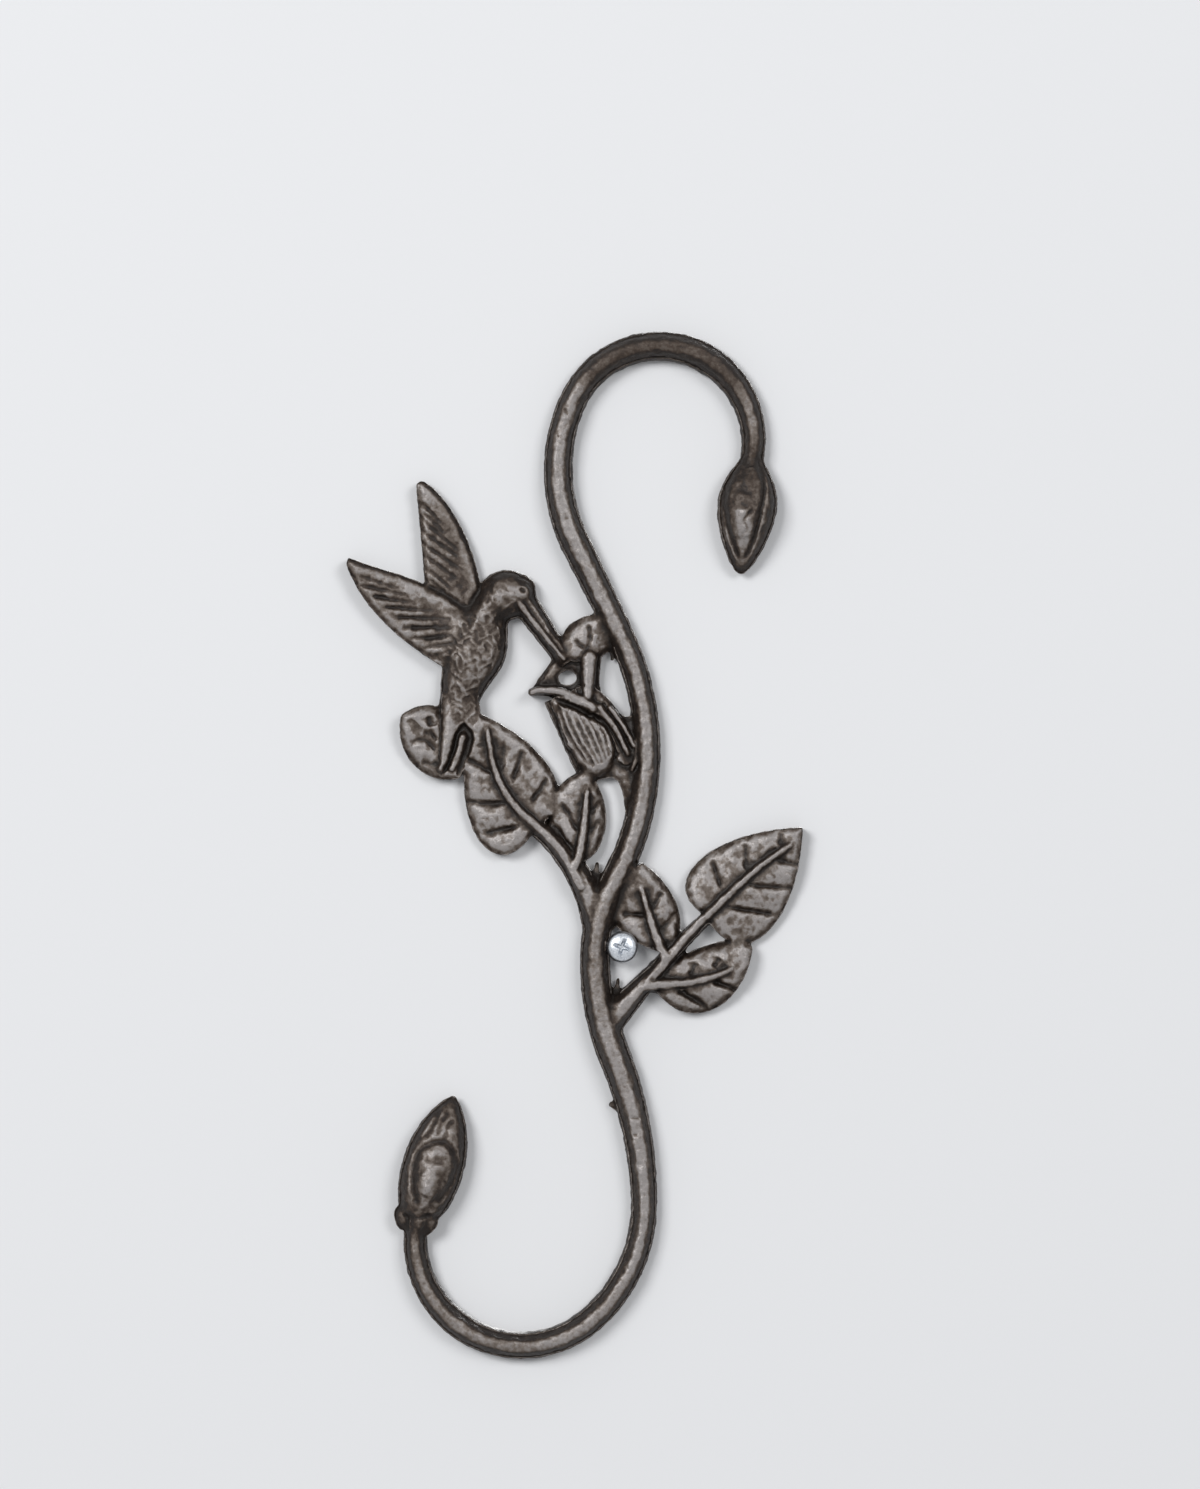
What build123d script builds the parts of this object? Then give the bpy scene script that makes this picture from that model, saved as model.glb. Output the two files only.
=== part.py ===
from build123d import *
from dataclasses import dataclass
from math import cos, radians, sin
import os

# Wall hook for a hanging planter: one flat-backed iron casting and the screw that holds it.
# Lengths are in millimetres and angles in degrees. The wall is the plane Y = 0, the front
# faces -Y, +Z is up, and the screw axis meets the wall at the origin.

# Pan-head wall screw
SCREW_HEAD_RADIUS = 3.9
SCREW_HEAD_HEIGHT = 2.6
SCREW_HEAD_RIM = 1.0
SCREW_NECK_RADIUS = 1.9
SCREW_THREAD_RADIUS = 2.1
SCREW_THREAD_LENGTH = 24.0
SCREW_TIP_LENGTH = 4.0
SCREW_SEAT_HEIGHT = 4.2
SCREW_RECESS_SPAN = 4.4
SCREW_RECESS_SLOT = 1.1
SCREW_RECESS_DEPTH = 1.7
SCREW_RECESS_TURN = 18.0
SCREW_NECK_CLEARANCE = 1.1
SCREW_HEAD_CLEARANCE = 0.25

# S-shaped bar: a flat back, drafted flanks and a narrow flat land on the front
BAR_DEPTH = 7.0
BAR_LAND_SHARE = 0.34
BAR_FOOT_SHARE = 0.3
BAR_FLANK_SHARE = 0.06
TRUNK_WIDTH = 7.4
TRUNK_DROP = 3.2

# Stock behind the wall plane, which the flat back trims off
BACK_STOCK = 0.5

# The wall plane carries all the outlines, measured as (x, z) from the middle of the trunk
FRONT = Vector(0, -1, 0)
trunk_x = -(SCREW_NECK_RADIUS + SCREW_NECK_CLEARANCE + TRUNK_WIDTH / 2)
CAST = Plane(origin=(trunk_x, 0, -TRUNK_DROP), x_dir=(1, 0, 0), z_dir=FRONT)


@dataclass(frozen=True)
class Bend:
    """One stretch of the bar: an arc's radius and turn, or a straight run where the turn is zero."""

    reach: float
    turn: float
    width: float


UPPER_BENDS = [
    Bend(reach=42.9, turn=-28.1, width=6.9),
    Bend(reach=66.7, turn=38.0, width=6.6),
    Bend(reach=66.7, turn=16.4, width=6.7),
    Bend(reach=24.4, turn=0.0, width=7.5),
    Bend(reach=41.6, turn=-49.3, width=6.8),
    Bend(reach=23.5, turn=-100.0, width=7.3),
    Bend(reach=23.5, turn=-67.8, width=5.8),
]
LOWER_BENDS = [
    Bend(reach=60.3, turn=20.9, width=8.1),
    Bend(reach=4.6, turn=0.0, width=8.0),
    Bend(reach=99.9, turn=-20.1, width=6.4),
    Bend(reach=37.9, turn=-49.6, width=6.6),
    Bend(reach=26.4, turn=-80.0, width=6.7),
    Bend(reach=26.4, turn=-59.7, width=5.6),
]

# Flower buds that end the bar; forms are shares of the length and the radius
UPPER_BUD_LENGTH = 28.8
UPPER_BUD_RADIUS = 7.4
UPPER_BUD_LEAN = 5.0
LOWER_BUD_LENGTH = 32.8
LOWER_BUD_RADIUS = 7.7
LOWER_BUD_LEAN = -8.0
BUD_AXIS_HEIGHT = 2.6
UPPER_BUD_FORM = [(0.0, 0.39), (0.12, 0.66), (0.36, 1.0), (0.62, 0.87), (0.86, 0.5), (1.0, 0.08)]
LOWER_BUD_FORM = [(0.0, 0.37), (0.12, 0.75), (0.45, 1.0), (0.65, 0.9), (0.86, 0.55), (1.0, 0.08)]
PETAL_FORM = [(0.0, 0.2), (0.25, 0.8), (0.5, 1.0), (0.8, 0.65), (1.0, 0.1)]
PETAL_RISE = 4.2
UPPER_PETAL_RADIUS = 4.8
UPPER_PETAL_FOOT_SHARE = 0.08
UPPER_PETAL_POINT_SHARE = 0.92
UPPER_PETAL_POINT_RISE = 1.05
LOWER_PETAL_RADIUS = 4.1
LOWER_PETAL_SHARE = 0.56
SEPAL_LENGTH = 6.0
SEPAL_ROOT_SHARE = 0.4
SEPAL_TAPER = 0.6
SEPAL_FORM = [(0.0, 0.4), (0.35, 0.85), (0.7, 1.0), (1.0, 0.45)]


@dataclass(frozen=True)
class Sepal:
    """A knob at the foot of the lower bud: how far it stands aside and forward, and its radius."""

    aside: float
    forward: float
    radius: float


SEPALS = [Sepal(-4.2, 0.6, 2.5), Sepal(0.2, 4.2, 2.1), Sepal(3.6, 2.2, 2.1)]

# Leaves, with their engraved side veins
LEAF_CROWN = 4.7
LEAF_EDGE = 2.6
LEAF_BULGE = 4 / 3
VEIN_WIDTH = 1.0
VEIN_DEPTH = 0.6


@dataclass(frozen=True)
class Side:
    """One margin of a leaf: its half width and how far along its two curve handles stand."""

    half: float
    base: float
    tip: float


@dataclass(frozen=True)
class Vein:
    """A side vein between two places, each a share of the leaf's length and of its half width."""

    root: tuple
    end: tuple


@dataclass(frozen=True)
class Leaf:
    """A leaf or petal from the end of its stalk, with left the side of the positive shares."""

    foot: tuple
    heading: float
    length: float
    left: Side
    right: Side
    veins: tuple


RIGHT_LEAF = Leaf(
    foot=(27.2, 11.0),
    heading=41.9,
    length=32.6,
    left=Side(11.0, -0.12, 0.47),
    right=Side(13.5, -0.12, 0.47),
    veins=(
        Vein((0.44, 0.06), (0.60, 0.72)),
        Vein((0.21, 0.10), (0.34, 0.95)),
        Vein((0.68, -0.08), (0.81, -0.52)),
        Vein((0.40, -0.10), (0.67, -0.84)),
        Vein((0.15, -0.10), (0.45, -1.00)),
    ),
)
RIGHT_LOW_LEAF = Leaf(
    foot=(14.1, -6.0),
    heading=19.0,
    length=26.4,
    left=Side(4.6, 0.15, 1.05),
    right=Side(11.0, 0.10, 0.70),
    veins=(
        Vein((0.36, -0.08), (0.46, 0.40)),
        Vein((0.60, -0.08), (0.68, 0.30)),
        Vein((0.52, -0.32), (0.76, -0.84)),
        Vein((0.22, -0.32), (0.44, -1.00)),
    ),
)
LEFT_LEAF = Leaf(
    foot=(-14.3, 33.2),
    heading=116.0,
    length=30.5,
    left=Side(14.7, -0.45, 0.60),
    right=Side(9.2, 0.0, 0.50),
    veins=(
        Vein((0.54, 0.28), (0.75, 0.64)),
        Vein((0.27, 0.30), (0.45, 0.96)),
        Vein((0.06, 0.24), (0.15, 0.96)),
        Vein((0.58, 0.17), (0.77, -0.28)),
        Vein((0.40, 0.06), (0.63, -0.64)),
        Vein((0.18, -0.09), (0.35, -0.95)),
    ),
)
TAIL_LEAF = Leaf(
    foot=(-33.4, 45.0),
    heading=133.0,
    length=21.3,
    left=Side(6.2, 0.20, 0.75),
    right=Side(9.0, 0.30, 0.95),
    veins=(
        Vein((0.45, 0.0), (0.67, 0.62)),
        Vein((0.24, 0.0), (0.36, 0.75)),
        Vein((0.50, -0.14), (0.78, -0.52)),
    ),
)
FORK_LEAF = Leaf(
    foot=(-3.9, 24.0),
    heading=86.0,
    length=23.0,
    left=Side(8.6, 0.05, 0.85),
    right=Side(5.9, 0.10, 0.75),
    veins=(
        Vein((0.12, 0.18), (0.42, 0.86)),
        Vein((0.33, 0.08), (0.63, 0.68)),
        Vein((0.33, -0.24), (0.50, -0.80)),
        Vein((0.53, -0.26), (0.70, -0.80)),
    ),
)
# This one stands beside the screw, and its stalk is measured from the screw axis
SCREW_LEAF = Leaf(
    foot=(9.7, -1.2),
    heading=102.0,
    length=22.5,
    left=Side(10.3, 0.30, 0.80),
    right=Side(6.4, 0.05, 0.60),
    veins=(
        Vein((0.42, 0.14), (0.50, 0.76)),
        Vein((0.24, -0.14), (0.41, -0.90)),
        Vein((0.47, -0.06), (0.65, -0.56)),
    ),
)

# Branches and midribs: (width, depth) of their bars and the places that they run through
CROTCH = (8.0, 5.8)
BRANCH = (4.6, 6.0)
RIB = (2.6, 5.8)
RIB_TIP = (1.2, 5.2)
RIGHT_BRANCH = [(2.4, -16.6), (14.4, -3.4)]
RIGHT_MIDRIB_TIP = (49.0, 29.6)
LEFT_BRANCH = [(1.0, 7.0), (-5.6, 23.4), (-14.6, 32.9)]
LEFT_MIDRIB_TIP = (-26.5, 56.9)
SMALL_MIDRIBS = [
    [(12.5, -6.6), (21.8, -6.9), (33.8, -2.2)],
    [(15.8, 2.6), (11.6, 17.5)],
    [(-4.6, 23.0), (-1.7, 42.5)],
    [(-34.0, 46.0), (-45.5, 58.0)],
]

# Bell flower, with its rolled lip and its pistil as (width, depth) bars
BELL_FOOT = (2.0, 45.0)
BELL_HEADING = 114.0
BELL_LENGTH = 23.0
BELL_RADIUS = 5.7
BELL_AXIS_HEIGHT = 1.2
BELL_GROOVES = 6
BELL_GROOVE_RADIUS = 0.65
BELL_GROOVE_ARC = 120.0
BELL_GROOVE_START = 1.9
FLOWER_WEB_DEPTH = 3.2
FLOWER_WEB = [
    (-4.2, 45.8),
    (0.0, 44.4),
    (4.2, 45.2),
    (5.8, 44.2),
    (7.0, 41.0),
    (7.5, 36.5),
    (11.0, 34.0),
    (13.0, 55.0),
    (9.5, 60.0),
    (7.0, 60.4),
]
THROAT = [
    (-10.6, 74.3),
    (-16.3, 66.2),
    (-1.0, 63.0),
    (2.4, 62.5),
    (1.0, 69.0),
    (1.6, 75.0),
    (-4.0, 75.0),
]
THROAT_HOLE = (-6.8, 69.8)
THROAT_HOLE_RADII = (2.3, 1.9)
LIP = [(-16.4, 66.0), (-4.6, 64.9), (6.6, 51.5)]
LIP_START = (1.8, 5.6)
LIP_END = (2.8, 7.2)
PISTIL = [(-1.2, 75.8), (-1.0, 63.5)]
PISTIL_START = (3.6, 5.6)
PISTIL_END = (2.8, 5.0)
SIDE_PETAL = Leaf(
    foot=(8.5, 48.5),
    heading=115.3,
    length=21.0,
    left=Side(3.0, 0.0, 0.7),
    right=Side(3.6, 0.0, 0.7),
    veins=(Vein((0.14, -0.50), (0.80, -0.45)), Vein((0.10, 0.05), (0.88, 0.05))),
)
BACK_PETAL = Leaf(
    foot=(3.6, 86.0),
    heading=233.0,
    length=15.2,
    left=Side(5.6, 0.2, 0.7),
    right=Side(6.2, 0.45, 0.9),
    veins=(Vein((0.15, 0.05), (0.80, -0.15)),),
)

# Hummingbird: body stations as (x, z, half width), from the tail to the neck
BIRD_SPINE = [
    (-33.8, 59.6, 4.6),
    (-33.4, 64.6, 5.1),
    (-31.8, 69.0, 6.4),
    (-29.8, 74.6, 7.6),
    (-28.4, 80.0, 6.8),
    (-26.9, 84.8, 5.6),
    (-24.6, 89.0, 5.2),
]
BIRD_AXIS_HEIGHT = 1.4
BIRD_FLATNESS = 0.86
HEAD_NAPE = (-29.0, 89.6)
HEAD_FACE = (-14.7, 91.0)
HEAD_RADIUS = 6.3
HEAD_FORM = [(0.0, 0.3), (0.15, 0.7), (0.45, 1.0), (0.75, 0.85), (1.0, 0.4)]
BEAK = [(-18.0, 89.2), (-7.0, 73.4)]
BEAK_ROOT = (6.8, 6.4)
BEAK_TIP = (4.4, 5.2)
TAIL_DEPTH = 5.0
TAIL = [
    (-37.9, 66.0),
    (-28.9, 66.0),
    (-28.0, 58.0),
    (-29.6, 50.5),
    (-31.2, 50.0),
    (-32.9, 56.5),
    (-35.6, 48.0),
    (-37.4, 46.4),
    (-38.1, 58.0),
]

# Wings: curve handles of their long edges, corners of the rest, and the feather grooves
WING_BEVEL = 0.9
FEATHERS = 8
FEATHER_WIDTH = 1.5
FEATHER_DEPTH = 0.7
UPPER_WING_DEPTH = 4.0
UPPER_WING_LEAD = [(-27.0, 84.0), (-28.8, 103.0), (-36.0, 114.5), (-42.8, 118.8)]
UPPER_WING_REST = [(-42.8, 118.8), (-44.3, 117.8), (-42.6, 99.0), (-41.5, 84.0), (-27.0, 84.0)]
UPPER_FEATHER_FIRST = (-45.0, 114.0)
UPPER_FEATHER_PITCH = 3.0
UPPER_FEATHER_LENGTH = 12.0
UPPER_FEATHER_SLOPE = -36.9
LOWER_WING_DEPTH = 5.0
LOWER_WING_LEAD = [(-61.0, 99.6), (-50.0, 95.0), (-44.0, 96.0), (-28.0, 84.5)]
LOWER_WING_ROOT = [(-28.0, 84.5), (-29.0, 74.0), (-35.0, 71.2)]
LOWER_WING_TRAIL = [(-35.0, 71.2), (-50.0, 79.0), (-59.0, 89.4), (-61.6, 98.2)]
LOWER_FEATHER_FIRST = (-61.5, 95.6)
LOWER_FEATHER_STEP = (3.2, -2.7)
LOWER_FEATHER_LENGTH = 14.5
LOWER_FEATHER_SLOPE = -24.0
LOWER_FEATHER_FAN = 5.5


def spot(x, z, height=0.0):
    """Point on the casting, measured from the middle of the trunk and off the wall."""
    return CAST.from_local_coords((x, z, height))


def in_wall_plane(origin, heading):
    """Plane on the wall whose X runs along a heading, with its normal towards the front."""
    ahead = Vector(cos(radians(heading)), 0, sin(radians(heading)))
    return Plane(origin=origin, x_dir=ahead, z_dir=FRONT)


def across(point, tangent):
    """Plane square to a line, with its Y towards the front."""
    return Plane(origin=point, x_dir=FRONT.cross(tangent), z_dir=tangent)


def course(*points):
    """Edge through two points, or an arc through three, laid on the wall plane."""
    with BuildLine(CAST) as line:
        if len(points) == 2:
            Line(*points)
        else:
            ThreePointArc(*points)
    return line.edge()


def bend_on(edge, end):
    """Arc on the wall plane that carries an edge on smoothly to a new end."""
    with BuildLine(CAST) as line:
        TangentArc(edge @ 1, spot(*end), tangent=edge % 1)
    return line.edge()


def bar_section(width, depth):
    """Bar profile in the open sketch: an upright foot, bulged flanks and a flat land."""
    half = width / 2
    land = half * BAR_LAND_SHARE
    foot = depth * BAR_FOOT_SHARE
    bulge = width * BAR_FLANK_SHARE
    with BuildLine() as outline:
        Polyline((-half, foot), (-half, -BACK_STOCK), (half, -BACK_STOCK), (half, foot))
        SagittaArc((half, foot), (land, depth), -bulge)
        Line((land, depth), (-land, depth))
        SagittaArc((-land, depth), (-half, foot), -bulge)
    make_face(outline.edges())


def tapered_bar(path, start, end):
    """Bar of (width, depth) at each end, swept along one edge of the wall plane."""
    with BuildPart() as bar:
        with BuildSketch(across(path @ 0, path % 0)):
            bar_section(*start)
        with BuildSketch(across(path @ 1, path % 1)):
            bar_section(*end)
        sweep(path=path, multisection=True)
    return bar.part


def bar_run(bends, heading):
    """Chain of tapered bars that leaves the trunk up or down, and the edge that ends it."""
    bars = []
    point, direction = CAST.origin, Vector(0, 0, heading)
    start = (TRUNK_WIDTH, BAR_DEPTH)
    for bend in bends:
        with BuildLine(CAST) as line:
            if bend.turn:
                JernArc(point, direction, bend.reach, bend.turn)
            else:
                Line(point, point + direction * bend.reach)
        edge = line.edge()
        end = (bend.width, BAR_DEPTH - (TRUNK_WIDTH - bend.width) / 2)
        bars.append(tapered_bar(edge, start, end))
        point, direction, start = edge @ 1, edge % 1, end
    return bars, edge


def engrave(start, end, width, depth):
    """Cut a V-shaped line into the front of the open part, which runs out to nothing at its end."""
    above = 2 * depth
    half = width / 2 * (depth + above) / depth
    rising = end + FRONT * depth - start
    with BuildSketch(across(start, rising.normalized())) as groove:
        with BuildLine():
            Polyline((0, -depth), (half, above), (-half, above), close=True)
        make_face()
    extrude(groove.sketch, amount=rising.length, mode=Mode.SUBTRACT)


def leaf_blade(leaf, foot):
    """Crowned leaf with engraved side veins."""
    base = in_wall_plane(foot, leaf.heading)
    length, left, right = leaf.length, leaf.left, leaf.right
    below = -2 * BACK_STOCK
    with BuildPart() as blade:
        with BuildSketch(base.offset(-BACK_STOCK)):
            with BuildLine():
                Bezier(
                    (0, 0),
                    (left.base * length, left.half * LEAF_BULGE),
                    (left.tip * length, left.half * LEAF_BULGE),
                    (length, 0),
                )
                Bezier(
                    (length, 0),
                    (right.tip * length, -right.half * LEAF_BULGE),
                    (right.base * length, -right.half * LEAF_BULGE),
                    (0, 0),
                )
            make_face()
        extrude(amount=LEAF_CROWN + 2 * BACK_STOCK)
        behind = base.from_local_coords((-length, 0, 0))
        with BuildSketch(Plane(origin=behind, x_dir=base.y_dir, z_dir=base.x_dir)):
            with BuildLine():
                crown = ThreePointArc((-right.half, LEAF_EDGE), (0, LEAF_CROWN), (left.half, LEAF_EDGE))
                Polyline(crown @ 1, (left.half, below), (-right.half, below), crown @ 0)
            make_face()
        extrude(amount=3 * length, mode=Mode.INTERSECT)
        for vein in leaf.veins:
            ends = []
            for along, aside in (vein.root, vein.end):
                half = left.half if aside > 0 else right.half
                height = LEAF_CROWN - (LEAF_CROWN - LEAF_EDGE) * aside**2
                ends.append(base.from_local_coords((along * length, aside * half, height)))
            engrave(*ends, VEIN_WIDTH, VEIN_DEPTH)
    return blade.part


def pod(start, point, radius, form):
    """Bud, petal or head lofted through round stations, given as shares of its length and radius."""
    axis = point - start
    with BuildPart() as body:
        for along, share in form:
            with BuildSketch(across(start + axis * along, axis.normalized())):
                Circle(radius * share)
        loft()
    return body.part


def plate(points, depth):
    """Flat web with straight sides, on the wall."""
    with BuildPart() as web:
        with BuildSketch(CAST.offset(-BACK_STOCK)):
            with BuildLine():
                Polyline(*points, close=True)
            make_face()
        extrude(amount=depth + BACK_STOCK)
    return web.part


# Bar with its two hooks
upper_bars, upper_end = bar_run(UPPER_BENDS, 1)
lower_bars, lower_end = bar_run(LOWER_BENDS, -1)

# Upper bud: a pointed core with one raised petal down its front
upper_ahead = (upper_end % 1).rotate(Axis((0, 0, 0), FRONT), UPPER_BUD_LEAN)
upper_heart = upper_end @ 1 + FRONT * BUD_AXIS_HEIGHT
upper_point = upper_heart + upper_ahead * UPPER_BUD_LENGTH
upper_petal_foot = upper_heart + upper_ahead * UPPER_BUD_LENGTH * UPPER_PETAL_FOOT_SHARE
upper_petal_point = upper_heart + upper_ahead * UPPER_BUD_LENGTH * UPPER_PETAL_POINT_SHARE
upper_bud = [
    pod(upper_heart, upper_point, UPPER_BUD_RADIUS, UPPER_BUD_FORM),
    pod(
        upper_petal_foot + FRONT * PETAL_RISE,
        upper_petal_point + FRONT * UPPER_PETAL_POINT_RISE,
        UPPER_PETAL_RADIUS,
        PETAL_FORM,
    ),
]

# Lower bud: a leaning core, an oval petal over its front and three sepals at its foot
lower_ahead = (lower_end % 1).rotate(Axis((0, 0, 0), FRONT), LOWER_BUD_LEAN)
lower_aside = lower_ahead.cross(FRONT)
lower_heart = lower_end @ 1 + FRONT * BUD_AXIS_HEIGHT
lower_point = lower_heart + lower_ahead * LOWER_BUD_LENGTH
lower_petal_foot = lower_heart + lower_ahead * SEPAL_LENGTH * SEPAL_ROOT_SHARE + FRONT * PETAL_RISE
lower_petal_point = lower_petal_foot + lower_ahead * LOWER_BUD_LENGTH * LOWER_PETAL_SHARE
lower_bud = [
    pod(lower_heart, lower_point, LOWER_BUD_RADIUS, LOWER_BUD_FORM),
    pod(lower_petal_foot, lower_petal_point, LOWER_PETAL_RADIUS, PETAL_FORM),
]
for sepal in SEPALS:
    outward = lower_aside * sepal.aside + FRONT * sepal.forward
    sepal_foot = lower_heart + outward * SEPAL_TAPER - lower_ahead * SEPAL_LENGTH * SEPAL_ROOT_SHARE
    sepal_tip = lower_heart + outward + lower_ahead * SEPAL_LENGTH * (1 - SEPAL_ROOT_SHARE)
    lower_bud.append(pod(sepal_foot, sepal_tip, sepal.radius, SEPAL_FORM))

# Leaves, on branches that run on as the midribs of the large ones
twig_leaves = [RIGHT_LEAF, RIGHT_LOW_LEAF, LEFT_LEAF, TAIL_LEAF, FORK_LEAF]
blades = [leaf_blade(leaf, spot(*leaf.foot)) for leaf in twig_leaves]
blades.append(leaf_blade(SCREW_LEAF, Vector(SCREW_LEAF.foot[0], 0, SCREW_LEAF.foot[1])))
right_branch = course(*RIGHT_BRANCH)
left_branch = course(*LEFT_BRANCH)
ribs = [
    tapered_bar(right_branch, CROTCH, BRANCH),
    tapered_bar(bend_on(right_branch, RIGHT_MIDRIB_TIP), BRANCH, RIB_TIP),
    tapered_bar(left_branch, CROTCH, BRANCH),
    tapered_bar(bend_on(left_branch, LEFT_MIDRIB_TIP), BRANCH, RIB_TIP),
]
ribs += [tapered_bar(course(*midrib), RIB, RIB_TIP) for midrib in SMALL_MIDRIBS]

# Bell flower: a ribbed bell, its rolled lip, a petal behind it, the back petal and the throat
bell_foot = spot(*BELL_FOOT, BELL_AXIS_HEIGHT)
bell_line = in_wall_plane(bell_foot, BELL_HEADING)
bell_end = Plane(origin=bell_foot, x_dir=FRONT, z_dir=bell_line.x_dir)
with BuildPart() as bell:
    with BuildSketch(bell_line):
        with BuildLine():
            RadiusArc((0, 0), (BELL_RADIUS, BELL_RADIUS), BELL_RADIUS)
            Polyline((BELL_RADIUS, BELL_RADIUS), (BELL_LENGTH, BELL_RADIUS), (BELL_LENGTH, 0), (0, 0))
        make_face()
    revolve(axis=Axis(bell_foot, bell_line.x_dir))
    with BuildSketch(bell_end.offset(BELL_GROOVE_START)):
        with PolarLocations(BELL_RADIUS, BELL_GROOVES, -BELL_GROOVE_ARC / 2, BELL_GROOVE_ARC, endpoint=True):
            Circle(BELL_GROOVE_RADIUS)
    extrude(amount=BELL_LENGTH, mode=Mode.SUBTRACT)
with BuildPart() as throat:
    with BuildSketch(CAST.offset(-BACK_STOCK)):
        with BuildLine():
            Polyline(*THROAT, close=True)
        make_face()
        with Locations(THROAT_HOLE):
            Ellipse(*THROAT_HOLE_RADII, mode=Mode.SUBTRACT)
    extrude(amount=FLOWER_WEB_DEPTH + BACK_STOCK)
flower = [
    bell.part,
    throat.part,
    leaf_blade(SIDE_PETAL, spot(*SIDE_PETAL.foot)),
    leaf_blade(BACK_PETAL, spot(*BACK_PETAL.foot)),
    plate(FLOWER_WEB, FLOWER_WEB_DEPTH),
    tapered_bar(course(*LIP), LIP_START, LIP_END),
    tapered_bar(course(*PISTIL), PISTIL_START, PISTIL_END),
]

# Hummingbird: a lofted body with a round head, two grooved wings, a beak and a forked tail
with BuildPart() as bird_body:
    for x, z, half in BIRD_SPINE:
        with BuildSketch(Plane(origin=spot(x, z, BIRD_AXIS_HEIGHT), x_dir=(1, 0, 0), z_dir=(0, 0, 1))):
            Ellipse(half, half * BIRD_FLATNESS)
    loft()
with BuildPart() as upper_wing:
    with BuildSketch(CAST.offset(-BACK_STOCK)):
        with BuildLine():
            Bezier(*UPPER_WING_LEAD)
            Polyline(*UPPER_WING_REST)
        make_face()
    extrude(amount=UPPER_WING_DEPTH + BACK_STOCK)
    front_edges = faces().sort_by(Axis.Y)[0].edges()
    chamfer(front_edges.filter_by(GeomType.BEZIER).sort_by(Axis.Z)[-1], WING_BEVEL)
    slope = radians(UPPER_FEATHER_SLOPE)
    feather = Vector(cos(slope), 0, sin(slope)) * UPPER_FEATHER_LENGTH
    first_x, first_z = UPPER_FEATHER_FIRST
    for number in range(FEATHERS):
        start = spot(first_x, first_z - UPPER_FEATHER_PITCH * number, UPPER_WING_DEPTH)
        engrave(start, start + feather, FEATHER_WIDTH, FEATHER_DEPTH)
with BuildPart() as lower_wing:
    with BuildSketch(CAST.offset(-BACK_STOCK)):
        with BuildLine():
            Bezier(*LOWER_WING_LEAD)
            Polyline(*LOWER_WING_ROOT)
            Bezier(*LOWER_WING_TRAIL)
            Line(LOWER_WING_TRAIL[-1], LOWER_WING_LEAD[0])
        make_face()
    extrude(amount=LOWER_WING_DEPTH + BACK_STOCK)
    front_edges = faces().sort_by(Axis.Y)[0].edges()
    chamfer(front_edges.filter_by(GeomType.BEZIER).sort_by(Axis.Z)[-1], WING_BEVEL)
    first_x, first_z = LOWER_FEATHER_FIRST
    step_x, step_z = LOWER_FEATHER_STEP
    for number in range(FEATHERS):
        start = spot(first_x + step_x * number, first_z + step_z * number, LOWER_WING_DEPTH)
        slope = radians(LOWER_FEATHER_SLOPE + LOWER_FEATHER_FAN * number)
        feather = Vector(cos(slope), 0, sin(slope)) * LOWER_FEATHER_LENGTH
        engrave(start, start + feather, FEATHER_WIDTH, FEATHER_DEPTH)
nape = spot(*HEAD_NAPE, BIRD_AXIS_HEIGHT)
face = spot(*HEAD_FACE, BIRD_AXIS_HEIGHT)
bird = [
    bird_body.part,
    pod(nape, face, HEAD_RADIUS, HEAD_FORM),
    upper_wing.part,
    lower_wing.part,
    tapered_bar(course(*BEAK), BEAK_ROOT, BEAK_TIP),
    plate(TAIL, TAIL_DEPTH),
]

# The casting is one solid, trimmed to its flat back and faced off under the screw head
with BuildPart() as hook_casting:
    add(upper_bars + lower_bars + upper_bud + lower_bud + ribs + blades + flower + bird)
    split(bisect_by=Plane.XZ, keep=Keep.TOP)
    with BuildSketch(Plane(origin=FRONT * SCREW_SEAT_HEIGHT, z_dir=FRONT)):
        Circle(SCREW_HEAD_RADIUS + SCREW_HEAD_CLEARANCE)
    extrude(amount=BAR_DEPTH, mode=Mode.SUBTRACT)

# The screw: a pan head with a cross recess, a plain neck and a pointed thread
with BuildPart() as wall_screw:
    head_top = -SCREW_SEAT_HEIGHT - SCREW_HEAD_HEIGHT
    head_rim = -SCREW_SEAT_HEIGHT - SCREW_HEAD_RIM
    with BuildSketch(Plane.XY):
        with BuildLine():
            Polyline(
                (0, head_top),
                (0, SCREW_THREAD_LENGTH + SCREW_TIP_LENGTH),
                (SCREW_THREAD_RADIUS, SCREW_THREAD_LENGTH),
                (SCREW_THREAD_RADIUS, 0),
                (SCREW_NECK_RADIUS, 0),
                (SCREW_NECK_RADIUS, -SCREW_SEAT_HEIGHT),
                (SCREW_HEAD_RADIUS, -SCREW_SEAT_HEIGHT),
                (SCREW_HEAD_RADIUS, head_rim),
            )
            TangentArc((0, head_top), (SCREW_HEAD_RADIUS, head_rim), tangent=(1, 0))
        make_face()
    revolve(axis=Axis.Y)
    with BuildSketch(Plane(origin=(0, head_top, 0), z_dir=FRONT)):
        Rectangle(SCREW_RECESS_SPAN, SCREW_RECESS_SLOT, rotation=SCREW_RECESS_TURN)
        Rectangle(SCREW_RECESS_SLOT, SCREW_RECESS_SPAN, rotation=SCREW_RECESS_TURN)
    extrude(amount=-SCREW_RECESS_DEPTH, mode=Mode.SUBTRACT)

os.makedirs("parts", exist_ok=True)
hook_casting.part.label = "hook_casting"
export_step(hook_casting.part, "parts/hook_casting.step")
wall_screw.part.label = "wall_screw"
export_step(wall_screw.part, "parts/wall_screw.step")
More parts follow.
